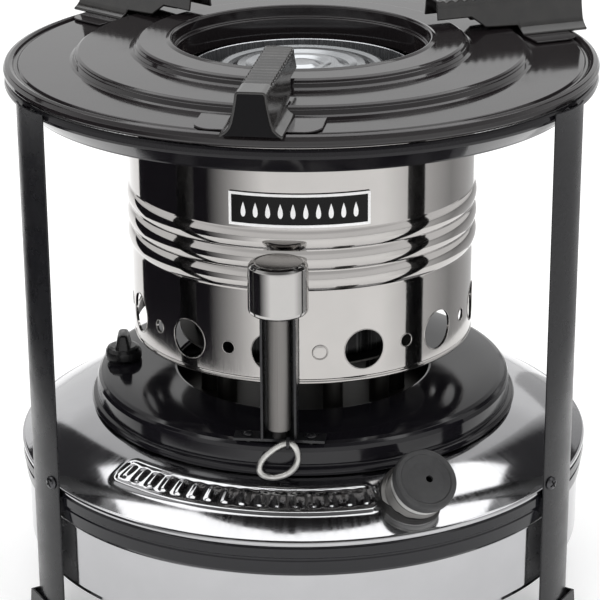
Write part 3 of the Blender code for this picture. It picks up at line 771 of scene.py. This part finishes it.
turned("plate", [
    (55.6, 239.4), (55.6, 249.3), (57.3, 249.8), (57.3, 254.0), (57.7, 254.9), (58.5, 255.2),
    (59.3, 254.9), (60.2, 254.5), (71.9, 254.5), (73.2, 253.9), (75.0, 251.2), (76.5, 250.5),
    (98.9, 250.5), (100.2, 249.9), (101.6, 247.1), (103.0, 246.5), (125.3, 246.5), (126.2, 245.5),
    (127.4, 245.5), (128.3, 246.7), (129.6, 247.2), (131.4, 246.6), (132.3, 245.0), (132.1, 243.2),
    (131.2, 241.8), (130.2, 241.7),
    (129.3, 243.5), (128.3, 244.4), (126.0, 244.3), (124.9, 245.4), (103.4, 245.4), (102.3, 245.9),
    (100.9, 248.9), (99.7, 249.4), (76.9, 249.4), (75.7, 249.9), (74.2, 252.8), (72.9, 253.4),
    (59.6, 253.4), (58.4, 252.9), (58.4, 249.0), (56.7, 248.4), (56.7, 239.4)],
    PLATE_ENAMEL, "stove_frame", ["top_plate"], steps=240, radius=0.9, corner_steps=6)

slots = [(outline_mesh("slot", [(-5.2, -134.5), (5.2, -134.5), (5.2, -118.0), (-5.2, -118.0)], 238.3, 240.6),
          spin(az)) for az in LEG_AZ.values()]
# the skirt wears the darker enamel copy as painted shade under the rim
turned("skirt", [
    (129.6, 241.3), (131.0, 241.3), (131.8, 240.2), (132.1, 238.6), (131.5, 237.2),
    (123.4, 230.3), (122.5, 229.2), (121.6, 229.9), (122.4, 231.0), (130.2, 237.9),
    (130.6, 239.0), (130.2, 240.2), (129.6, 240.6)],
    SKIRT_PAINTED_SHADE, "stove_frame", ["plate_skirt"], steps=240, radius=0.6, cutters=slots)


# --- pot supports ---------------------------------------------------------------------------------------------

SECTION = [(0.0, 266.0), (5.2, 266.0), (6.0, 265.6), (6.3, 264.6), (6.6, 262.0), (7.2, 258.5), (7.7, 256.0),
           (8.4, 253.0), (9.3, 251.0), (10.8, 249.4), (12.9, 248.1)]


def section_at(count, z_low):
    """Points down one side of the channel's section, cut off at z_low."""
    fine = fillet(SECTION, 0.9, False, 5)
    cut_path = []
    for a, b in zip(fine, fine[1:]):
        cut_path.append(a)
        if b[1] < z_low <= a[1]:
            t = (a[1] - z_low) / (a[1] - b[1])
            cut_path.append((a[0] + t * (b[0] - a[0]), z_low))
            break
    else:
        cut_path.append(fine[-1])
    d = [0.0]
    for a, b in zip(cut_path, cut_path[1:]):
        d.append(d[-1] + math.hypot(b[0] - a[0], b[1] - a[1]))
    want = np.linspace(0, d[-1], count)
    return list(zip(np.interp(want, d, [p[0] for p in cut_path]), np.interp(want, d, [p[1] for p in cut_path])))


LOW_LINE = [(60.0, 257.2), (80.3, 257.2), (87.0, 252.2), (103.5, 251.6), (103.9, 248.1), (140.0, 248.1)]


def ridge(r):
    """Depth of the rolled flutes across the support's top."""
    if not 64.0 < r < 124.0:
        return 0.0
    phase = ((r - 66.0) / 4.45) % 1.0
    fade = min(1.0, (r - 64.0) / 2.0, (124.0 - r) / 2.0)
    return fade * 0.85 * (0.5 - 0.5 * math.cos(2 * math.pi * phase)) ** 0.7


for side, az in SUPPORT_AZ.items():
    rows = []
    stations = np.arange(63.5, 136.51, 0.365)
    for r in stations:
        z_low = float(np.interp(r, [p[0] for p in LOW_LINE], [p[1] for p in LOW_LINE]))
        half = section_at(26, max(z_low, 248.1))
        dip = ridge(r)
        pts = []
        for t, z in half:
            k = min(1.0, max(0.0, (z - 263.6) / 1.8))
            pts.append((t, z - dip * k))
        row = [(-t, -r, z) for t, z in reversed(pts)] + [(t, -r, z) for t, z in pts[1:]]
        rows.append(row)
    mesh = grid_mesh("channel", rows)
    channel = add("support_" + side, mesh, RIB_ENAMEL, "stove_frame", ["pot_support_" + side],
                  spin(az))
    solid = channel.modifiers.new("Sheet", 'SOLIDIFY')
    solid.thickness = 0.95 * MM
    solid.offset = 1.0
    solid.use_even_offset = True
    smooth(channel, 42)
    pad_points = [(-26.0, -104.2), (26.0, -104.2)]
    for cx, start in ((18.0, 0.0), (-18.0, 90.0)):
        for k in range(9):
            a = math.radians(start + 11.25 * k)
            pad_points.append((cx + 8.0 * math.cos(a), -118.8 - 8.0 * math.sin(a)))
    foot = add("support_foot_" + side, outline_mesh("foot_plate", pad_points, 246.85, 247.75), PLATE_ENAMEL,
               "stove_frame", ["pot_support_" + side], spin(az))
    soften(foot, 0.35, 3)
    # folded end of the channel, rounded into its top
    face = [(t - 0.35, z - 0.35) for t, z in section_at(26, 248.1)][1:]
    end = outline_mesh("end_face", [(t, z) for t, z in face] + [(-t, z) for t, z in reversed(face)], 0.0, 1.0)
    stand = spin(az) @ Matrix.Translation(Vector((0, -136.2, 0)) * MM) \
        @ Matrix(((1, 0, 0, 0), (0, 0, 1, 0), (0, 1, 0, 0), (0, 0, 0, 1)))
    # the end face wears the darker enamel copy: painted shade
    cover = add("support_end_" + side, end, END_PAINTED_SHADE, "stove_frame", ["pot_support_" + side],
                stand)
    soften(cover, 0.25, 2)


# --- gallery --------------------------------------------------------------------------------------------------------

gallery_profile = [
    (58.5, 98.3), (58.9, 99.2), (60.0, 99.6), (70.0, 99.85), (78.0, 99.9), (84.0, 99.55), (88.0, 99.2),
    (92.0, 98.6), (94.0, 97.9), (95.2, 96.7), (95.9, 95.0), (96.2, 91.0), (96.2, 89.5), (95.8, 88.9),
    (96.1, 88.3), (97.9, 87.7), (98.7, 86.5), (98.2, 84.9), (97.2, 84.9), (97.3, 86.2), (95.0, 87.5),
    (95.0, 94.4), (94.3, 96.0), (93.3, 96.9), (87.9, 98.1), (78.0, 98.8), (60.6, 98.5), (59.4, 97.4)]
turned("gallery_plate", gallery_profile, ENAMEL, "stove_frame", ["gallery"],
       steps=240, radius=0.7, corner_steps=5,
       cutters=[(cylinder_mesh(1.8, [((0, 0, 80), (0, 0, 110))], 24), column),
                (cylinder_mesh(1.65, [((t, -91.5, 94), (t, -91.5, 104)) for t in (-13.5, 13.5)], 24), in_column)])


# --- control column -----------------------------------------------------------------------------------------------------

dress("control_bracket", PAINT, 0.22, 3)
for side, t in (("left", -13.5), ("right", 13.5)):
    turned("rivet_" + side, [(0.0, 102.3), (1.2, 102.15), (2.0, 101.75), (2.25, 101.3), (2.25, 101.1),
                             (1.3, 101.1), (1.3, 96.4), (0.0, 96.4)], PAINT, "stove_frame",
           ["bracket_rivet_" + side], steps=32, closed=False,
           matrix=in_column @ Matrix.Translation(Vector((t, -91.5, 0)) * MM), radius=0.3)
turned("tube", [(5.1, 157.6), (5.1, 105.0), (3.0, 105.0), (3.0, 157.6)], TUBE_STEEL, "stove_frame",
       ["control_tube"], steps=64, matrix=column, radius=0.3)
turned("spindle", [(0.0, 170.0), (2.5, 170.0), (2.5, 104.4), (3.6, 104.4), (3.6, 101.1), (1.4, 101.1),
                   (1.4, 27.0), (0.0, 27.0)], SPINDLE_STEEL, "control", ["control_spindle"],
       steps=40, closed=False, matrix=column, radius=0.3)
turned("knob", [
    (0.0, 180.6), (9.6, 180.8), (10.4, 181.0), (11.8, 180.5), (12.7, 179.3), (12.9, 177.8), (12.9, 160.6),
    (12.7, 159.4), (11.9, 158.5), (10.6, 158.2), (9.4, 158.6), (2.8, 158.6), (2.8, 170.4), (0.0, 170.4)],
    KNOB_CHROME, "control", ["control_knob"], steps=128, closed=False,
    matrix=column, radius=0.8, corner_steps=6)


def loop_point(a, radius_scale=1.0):
    w = (1.0 - math.cos(a)) / 2.0
    wide = 0.62 + 0.50 * math.sin(a / 2.0) ** 1.5
    t = 4.6 + 8.2 * math.sin(a) * wide - 6.8 * w
    return (t, -(99.6 + 2.6 * w), 100.9 - 15.0 * w)


loop = [loop_point(2 * math.pi * k / 96) for k in range(96)]
ring = add("ring", tube_mesh("ring", loop, 1.45, 20, closed=True), ZINC, "ring", ["pull_ring"],
           in_column)
smooth(ring, 60)


# --- side knob ----------------------------------------------------------------------------------------------------------------

side_at = Matrix.Translation(polar(84.0, -92.0))
turned("side_base", [
    (0.0, 106.4), (5.8, 106.4), (7.4, 105.8), (8.3, 104.2), (8.5, 102.6), (8.5, 100.9), (8.1, 100.2),
    (0.0, 100.2)], KNOB_PLASTIC, "side_control", ["side_knob"], steps=72,
    closed=False, matrix=side_at, radius=0.7, corner_steps=6)
rows = []
for k in range(25):
    s = k / 24.0
    z = 104.5 + 8.2 * s
    hx = 3.85 - 1.65 * s ** 1.2
    hy = 7.5 - 2.3 * s
    if s > 0.86:
        q = math.sqrt(max(0.0, 1 - ((s - 0.86) / 0.14) ** 2))
        hx, hy = hx * (0.45 + 0.55 * q), hy * (0.82 + 0.18 * q)
    rows.append([(math.copysign(abs(math.cos(a)) ** 0.45, math.cos(a)) * hx,
                  math.copysign(abs(math.sin(a)) ** 0.35, math.sin(a)) * hy, z)
                 for a in (2 * math.pi * j / 56 for j in range(56))])
grip = add("side_grip", capped(grid_mesh("grip", rows, closed_u=True)), KNOB_PLASTIC, "side_control",
           ["side_knob"], side_at)
smooth(grip, 50)


# --- filler ---------------------------------------------------------------------------------------------------------------------

def threaded(r, s0, s1, pitch, depth):
    """Turned thread form down a barrel: alternating crests and roots."""
    out, z = [], s0
    while z > s1 + pitch * 0.5:
        out += [(r - depth, z), (r - depth * 0.2, z - pitch * 0.25), (r, z - pitch * 0.45),
                (r - depth * 0.35, z - pitch * 0.7)]
        z -= pitch
    out.append((r - depth, s1))
    return out


under = [(80.0, 84.85), (96.2, 84.85)] + [(r, dome_z(r) + 0.3) for r in np.arange(98.0, 131.0, 1.1)] \
    + [(140.0, 62.0), (140.0, 40.0), (80.0, 40.0)]
neck_profile = ([(9.2, -5.0), (9.6, -4.6), (10.8, -4.6), (11.2, -5.0), (11.2, -10.3), (12.6, -10.3)]
                + threaded(13.0, -10.5, -16.6, 1.2, 0.75)
                + [(13.1, -16.9), (14.3, -18.0), (14.3, -34.0), (9.2, -34.0)])
turned("neck", neck_profile, NECK_STEEL, "stove_frame", ["filler_neck"],
       steps=96, matrix=filler, radius=0.12, corner_steps=2,
       cutters=[(turned_mesh("under", under, 96), Matrix.Identity(4))])
dress("cap_gasket", RUBBER, 0.1, 2)
skirt_profile = ([(11.5, -5.9), (13.2, -5.9), (13.4, -6.1), (13.3, -6.4)]
                 + threaded(12.95, -6.5, -9.5, 1.0, 0.6) + [(12.3, -9.9), (11.5, -9.9)])
turned("cap_barrel", skirt_profile, CAP_STEEL, "cap_turn", ["cap_skirt"], steps=128,
       matrix=filler, radius=0.1, corner_steps=2)
turned("cap", [
    (0.0, -2.1), (4.0, -2.0), (8.0, -1.5), (10.2, -0.85), (10.9, -0.75), (11.3, -0.15), (11.8, 0.0),
    (12.9, 0.0), (13.6, -0.5), (13.8, -1.4), (13.8, -4.6), (13.55, -5.5), (13.0, -5.6), (11.5, -5.6),
    (11.5, -3.5), (0.0, -3.5)], CAP_PLASTIC, "cap_turn", ["cap_top"], steps=128,
    closed=False, matrix=filler, radius=0.35, corner_steps=4,
    cutters=[(cylinder_mesh(1.6, [((2.2, 0.3, -6.0), (2.2, 0.3, 2.0))], 32), filler)])


# --- burner ----------------------------------------------------------------------------------------------------------------------

def drum_radius(z):
    r = 77.9 + 0.4 * min(1.0, max(0.0, (z - 121.0) / 70.0))
    for c in (185.3, 176.0, 166.8):
        d = abs(z - c)
        if d < 4.6:
            r = max(r, 78.1 + 1.4 * (1 - (d / 4.6) ** 2))
    return r


wall = [(71.8, 235.4), (72.1, 235.9), (76.4, 236.0), (77.5, 235.6), (78.2, 234.6), (78.3, 233.6), (78.3, 192.0)]
wall += [(drum_radius(190.4 - 0.55 * i), 190.4 - 0.55 * i) for i in range(53)]
wall += [(78.0, 160.5), (77.9, 121.6), (77.62, 121.1), (77.6, 120.7), (77.95, 120.2), (78.0, 119.7),
         (77.8, 119.2), (77.2, 119.1), (76.9, 119.5), (76.9, 234.0), (76.2, 235.0), (72.0, 235.1)]
window_ends = []
port_ends = []
for k in range(12):
    window_ends.append((polar(70, 20 + 30 * k, 133.8) / MM, polar(86, 20 + 30 * k, 133.8) / MM))
    if k:
        port_ends.append((polar(70, 5.4 + 30 * k, 134.0) / MM, polar(86, 5.4 + 30 * k, 134.0) / MM))
turned("drum", wall, CHROME, "burner_set", ["burner_drum"], steps=240, radius=0.25,
       corner_steps=3,
       cutters=[(cylinder_mesh(9.0, window_ends, 64), Matrix.Identity(4)),
                (cylinder_mesh(2.85, port_ends, 32), Matrix.Identity(4))])
# rolled rims of the windows and ports, and the one port left unpunched
for k in range(12):
    for az, rad, big in ((20 + 30 * k, 9.0, True), (5.4 + 30 * k, 2.85, False)):
        if not big and k == 0:
            continue
        place = spin(az)
        path = []
        for j in range(64 if big else 32):
            a = 2 * math.pi * j / (64 if big else 32)
            u, z = (rad + 0.10) * math.cos(a), (rad + 0.10) * math.sin(a)
            rr = math.sqrt(77.90 ** 2 - u * u)
            path.append((u, -rr, 133.8 + z if big else 134.0 + z))
        rim = add("rim_%s_%02d" % ("window" if big else "port", k), tube_mesh("rim", path, 0.26, 8, True),
                  CHROME, "burner_set", ["burner_drum"], place)
        smooth(rim, 60)
blank_at = (spin(5.4) @ Matrix.Translation(Vector((0, -77.75, 134.0)) * MM)
            @ Matrix.Rotation(math.radians(90.0), 4, 'X'))
turned("blank_port", [(0.0, 0.30), (2.2, 0.28), (2.9, 0.16), (3.05, 0.45), (3.3, 0.5), (3.55, 0.3),
                      (3.6, -0.4), (0.0, -0.4)], CHROME, "burner_set", ["burner_drum"],
       steps=48, closed=False, matrix=blank_at, radius=0.15)


def arc_plate(name, a0, a1, z0, z1, r0, r1, material, corner=0.0, steps=40):
    """Curved plate on the drum's front."""
    rows = []
    for r in (r0, r1):
        for z in (z0, z1):
            pass
    bm = bmesh.new()
    ring = []
    corners = [(a0, z0), (a1, z0), (a1, z1), (a0, z1)]
    for i, (a, z) in enumerate(corners):
        b = corners[(i + 1) % 4]
        n = steps if b[1] == z else 6
        for k in range(n):
            t = k / n
            ring.append((a + (b[0] - a) * t, z + (b[1] - z) * t))
    outer = [bm.verts.new(polar(r1, a, z)) for a, z in ring]
    inner = [bm.verts.new(polar(r0, a, z)) for a, z in ring]
    n = len(ring)
    for i in range(n):
        bm.faces.new((outer[i], inner[i], inner[(i + 1) % n], outer[(i + 1) % n]))
    # strips between the lower and the upper long side
    for verts, flip in ((outer, False), (inner, True)):
        low = verts[0:steps + 1]
        high = verts[steps + 6:2 * steps + 6 + 1]
        high = list(reversed(high))
        left = [verts[0]] + list(reversed(verts[2 * steps + 6:]))
        for k in range(steps):
            quad = [low[k], low[k + 1], high[k + 1], high[k]]
            if k == 0:
                side = list(reversed(verts[2 * steps + 7:]))
                quad = [low[0], low[1], high[1], high[0]] + list(reversed(side))
            if k == steps - 1:
                side = verts[steps + 1:steps + 6]
                quad = [low[k], low[k + 1]] + list(side) + [high[k + 1], high[k]]
            if flip:
                quad.reverse()
            bm.faces.new(quad)
    bmesh.ops.recalc_face_normals(bm, faces=bm.faces)
    mesh = bpy.data.meshes.new(name)
    bm.to_mesh(mesh)
    bm.free()
    return mesh


label = add("label", arc_plate("label", -23.2, 21.4, 191.2, 206.0, 78.6, 79.25, LABEL_BLACK), LABEL_BLACK,
            "burner_set", ["label_plate"])
smooth(label, 30)
A0, A1, Z0, Z1 = -23.2, 21.4, 191.2, 206.0
BORDER_A, BORDER_Z = 0.86, 1.2
for i, (a0, a1, z0, z1) in enumerate(((A0, A1, Z0, Z0 + BORDER_Z), (A0, A1, Z1 - BORDER_Z, Z1),
                                      (A0, A0 + BORDER_A, Z0 + BORDER_Z, Z1 - BORDER_Z),
                                      (A1 - BORDER_A, A1, Z0 + BORDER_Z, Z1 - BORDER_Z))):
    edge = add("label_border_%d" % i, arc_plate("border", a0, a1, z0, z1, 79.2, 79.36, LABEL_WHITE),
               LABEL_WHITE, "burner_set", ["label_plate"])
    smooth(edge, 30)
# ten plain drops across the label
for k in range(10):
    az = -0.9 + (k - 4.5) * 3.9
    drop = []
    for j in range(24):
        a = 2 * math.pi * j / 24
        w = (1 - math.cos(a)) / 2
        drop.append((1.45 * math.sin(a) * math.sin(a / 2) ** 1.2, 201.8 - 6.6 * w))
    mesh = bpy.data.meshes.new("drop")
    bm = bmesh.new()
    front, back = [], []
    for x, z in drop:
        da = math.degrees(x / 79.3)
        front.append(bm.verts.new(polar(79.34, az + da, z)))
        back.append(bm.verts.new(polar(79.18, az + da, z)))
    bm.faces.new(front)
    bm.faces.new(list(reversed(back)))
    for j in range(24):
        bm.faces.new((front[j], back[j], back[(j + 1) % 24], front[(j + 1) % 24]))
    bmesh.ops.recalc_face_normals(bm, faces=bm.faces)
    bm.to_mesh(mesh)
    bm.free()
    mark = add("label_drop_%d" % k, mesh, LABEL_WHITE, "burner_set", ["label_plate"])

turned("sleeve_outer", [(50.4, 240.7), (50.4, 120.1), (49.5, 120.1), (49.5, 240.7), (49.95, 241.0)],
       SLEEVE_STEEL, "burner_set", ["outer_flame_sleeve"], steps=128, radius=0.2)
turned("sleeve_inner", [(36.5, 238.3), (36.5, 120.1), (35.6, 120.1), (35.6, 238.3), (36.05, 238.6)],
       SLEEVE_STEEL, "burner_set", ["inner_flame_sleeve"], steps=128, radius=0.2)
turned("spreader", [
    (0.0, 243.0), (3.0, 243.2), (6.0, 243.0), (8.5, 241.7), (10.5, 241.5), (13.5, 242.6), (16.5, 242.7),
    (19.5, 241.5), (21.5, 241.2), (25.0, 242.3), (28.5, 242.3), (31.0, 241.0), (33.5, 240.9),
    (36.0, 241.5), (37.4, 241.4), (38.0, 240.6), (38.0, 239.3), (37.4, 239.0), (0.0, 239.0)],
    SPREADER_STEEL, "burner_set", ["flame_spreader"], steps=160, closed=False,
    radius=1.2, corner_steps=5)
dress("cross_pin", ZINC, 0.2, 2)

tubes_at = [Matrix.Translation(polar(43.0, 18.0 + 36.0 * k)) for k in range(10)]
holes = [(cylinder_mesh(4.9, [((0, 0, 60), (0, 0, 130))], 32), at) for at in tubes_at]
turned("floor_disc", [(0.0, 86.1), (66.0, 86.1), (66.0, 84.9), (0.0, 84.9)], BASE_STEEL, "stove_frame",
       ["burner_floor"], steps=128, closed=False, radius=0.3, cutters=holes)
holes = [(cylinder_mesh(4.9, [((0, 0, 60), (0, 0, 130))], 32), at) for at in tubes_at]
turned("ring_disc", [(34.0, 119.8), (57.0, 119.8), (57.0, 118.6), (34.0, 118.6)], BASE_STEEL,
       "stove_frame", ["burner_ring"], steps=128, radius=0.3, cutters=holes)
for k, at in enumerate(tubes_at):
    turned("guide_%02d" % (k + 1), [(4.6, 121.0), (4.6, 68.0), (3.9, 68.0), (3.9, 121.0)], BASE_STEEL,
           "stove_frame", ["wick_tube_%02d" % (k + 1)], steps=40, matrix=at, radius=0.2)
    turned("cotton_%02d" % (k + 1), [(0.0, 112.9), (2.4, 113.0), (3.2, 112.4), (3.2, 26.0),
                                     (2.7, 25.5), (0.0, 25.5)], COTTON, "wick_set",
           ["wick_%02d" % (k + 1)], steps=28, closed=False, matrix=at, radius=0.4)
dress("wick_carrier", ZINC, 0.2, 2)


# --- stage: floor, light, camera ------------------------------------------------------------------------------------------------------

def stage_plane(name, size, location, rotation, colour, rough=0.7, glow=0.0):
    mesh = bpy.data.meshes.new(name)
    bm = bmesh.new()
    bmesh.ops.create_grid(bm, x_segments=1, y_segments=1, size=0.5)
    bm.to_mesh(mesh)
    bm.free()
    obj = bpy.data.objects.new(name, mesh)
    scene.collection.objects.link(obj)
    obj.scale = (size[0], size[1], 1.0)
    obj.location = location
    obj.rotation_euler = rotation
    m = Mat(name + "_finish", colour, rough, Emission_Color=(1.0, 1.0, 1.0, 1.0), Emission_Strength=glow)
    m.colour(m.noise(3.0), [(0.3, tuple(0.985 * c for c in colour)), (0.7, colour)])
    obj.data.materials.append(m.mat)
    return obj


stage_plane("floor", (14.0, 14.0), (0, 0, 0), (0, 0, 0), (0.80, 0.80, 0.80), glow=0.30)


def flag(name, az0, az1, radius, height, stops, steps=96, bottom=1.0):
    """Dark studio flag seen only in reflections; stops give its density round the stove."""
    rows = [[(radius * math.sin(math.radians(az0 + (az1 - az0) * k / steps)),
              -radius * math.cos(math.radians(az0 + (az1 - az0) * k / steps)), z)
             for k in range(steps + 1)] for z in (bottom, height)]
    obj = bpy.data.objects.new(name, grid_mesh(name, rows))
    scene.collection.objects.link(obj)
    mat = bpy.data.materials.new(name + "_cloth")
    mat.use_nodes = True
    tree = mat.node_tree
    tree.nodes.remove(tree.nodes["Principled BSDF"])
    out = tree.nodes["Material Output"]
    coord = tree.nodes.new("ShaderNodeTexCoord")
    sep = tree.nodes.new("ShaderNodeSeparateXYZ")
    tree.links.new(coord.outputs["Object"], sep.inputs[0])
    flip = tree.nodes.new("ShaderNodeMath")
    flip.operation = 'MULTIPLY'
    flip.inputs[1].default_value = -1.0
    tree.links.new(sep.outputs["Y"], flip.inputs[0])
    ang = tree.nodes.new("ShaderNodeMath")
    ang.operation = 'ARCTAN2'
    tree.links.new(sep.outputs["X"], ang.inputs[0])
    tree.links.new(flip.outputs[0], ang.inputs[1])
    turn = tree.nodes.new("ShaderNodeMapRange")
    turn.inputs["From Min"].default_value = math.radians(-180.0)
    turn.inputs["From Max"].default_value = math.radians(180.0)
    tree.links.new(ang.outputs[0], turn.inputs["Value"])
    ramp = tree.nodes.new("ShaderNodeValToRGB")
    els = ramp.color_ramp.elements
    for i, (az, density) in enumerate(stops):
        e = els[i] if i < 2 else els.new((az + 180.0) / 360.0)
        e.position = (az + 180.0) / 360.0
        e.color = (density, density, density, 1.0)
    tree.links.new(turn.outputs[0], ramp.inputs[0])
    clear = tree.nodes.new("ShaderNodeBsdfTransparent")
    cloth = tree.nodes.new("ShaderNodeBsdfDiffuse")
    cloth.inputs["Color"].default_value = (0.012, 0.011, 0.014, 1.0)
    mix = tree.nodes.new("ShaderNodeMixShader")
    tree.links.new(ramp.outputs["Color"], mix.inputs["Fac"])
    tree.links.new(clear.outputs[0], mix.inputs[1])
    tree.links.new(cloth.outputs[0], mix.inputs[2])
    tree.links.new(mix.outputs[0], out.inputs["Surface"])
    obj.data.materials.append(mat)
    obj.visible_camera = False
    obj.visible_diffuse = False
    obj.visible_shadow = False
    obj.visible_transmission = False
    return obj


flag("flag_left", -125.0, -22.0, 360.0, 168.0,
     [(-125.0, 1.0), (-58.0, 1.0), (-40.0, 0.55), (-22.0, 0.0)])
flag("flag_right", 48.0, 150.0, 360.0, 168.0,
     [(48.0, 0.0), (70.0, 0.35), (105.0, 0.72), (150.0, 0.45)])
flag("flag_far_right", 116.0, 153.0, 3000.0, 3020.0,
     [(116.0, 0.96), (148.0, 0.96), (153.0, 0.3)], bottom=1000.0)
flag("flag_far_left", -151.0, -114.0, 3000.0, 3150.0,
     [(-151.0, 0.96), (-114.0, 0.96)], bottom=900.0)


def area(name, location, aim, size, power, glossy=True):
    data = bpy.data.lights.new(name, 'AREA')
    data.shape = 'RECTANGLE'
    data.size, data.size_y = size
    data.energy = power
    obj = bpy.data.objects.new(name, data)
    scene.collection.objects.link(obj)
    obj.location = location
    obj.rotation_euler = (Vector(aim) - Vector(location)).to_track_quat('-Z', 'Y').to_euler()
    obj.visible_glossy = glossy
    return obj


area("top_box", (0.0, 0.42, 1.7), (0, 0.42, 0.1), (2.6, 1.9), 32)
area("front_left_box", (-1.1, -1.5, 1.3), (0, 0, 0.12), (1.3, 1.0), 9, glossy=False)
area("front_right_box", (1.3, -1.2, 1.1), (0, 0, 0.12), (1.0, 1.0), 6, glossy=False)

world = bpy.data.worlds.new("studio")
scene.world = world
world.use_nodes = True
wt = world.node_tree
wc = wt.nodes.new("ShaderNodeTexCoord")
ws = wt.nodes.new("ShaderNodeSeparateXYZ")
wt.links.new(wc.outputs["Generated"], ws.inputs[0])
wr = wt.nodes.new("ShaderNodeValToRGB")
wt.links.new(ws.outputs["Z"], wr.inputs[0])
for i, (z, v) in enumerate(((0.0, 1.0), (0.36, 1.0), (0.44, 0.78), (0.68, 0.66), (0.76, 0.22), (1.0, 0.08))):
    e = wr.color_ramp.elements[i] if i < 2 else wr.color_ramp.elements.new(z)
    e.position = z
    e.color = (v, v, v, 1.0)
wt.links.new(wr.outputs["Color"], wt.nodes["Background"].inputs["Color"])
wt.nodes["Background"].inputs["Strength"].default_value = 0.95

# camera at the photograph's angle
lens, distance, pitch, roll = 140.76, 1.087, math.radians(20.43), math.radians(-0.33)
aim = Vector((-0.0012, 0.0, 0.1293))
forward = Vector((0.0, math.cos(pitch), -math.sin(pitch)))
right0, up0 = Vector((1.0, 0.0, 0.0)), Vector((0.0, math.sin(pitch), math.cos(pitch)))
right = right0 * math.cos(roll) + up0 * math.sin(roll)
up = up0 * math.cos(roll) - right0 * math.sin(roll)
data = bpy.data.cameras.new("camera")
data.lens = lens
data.sensor_width = 36.0
data.sensor_fit = 'HORIZONTAL'
data.clip_start = 0.01
camera = bpy.data.objects.new("camera", data)
scene.collection.objects.link(camera)
place = Matrix((right, up, -forward)).transposed().to_4x4()
place.translation = aim - forward * distance
camera.matrix_world = place
scene.camera = camera
scene.view_settings.view_transform = 'Standard'
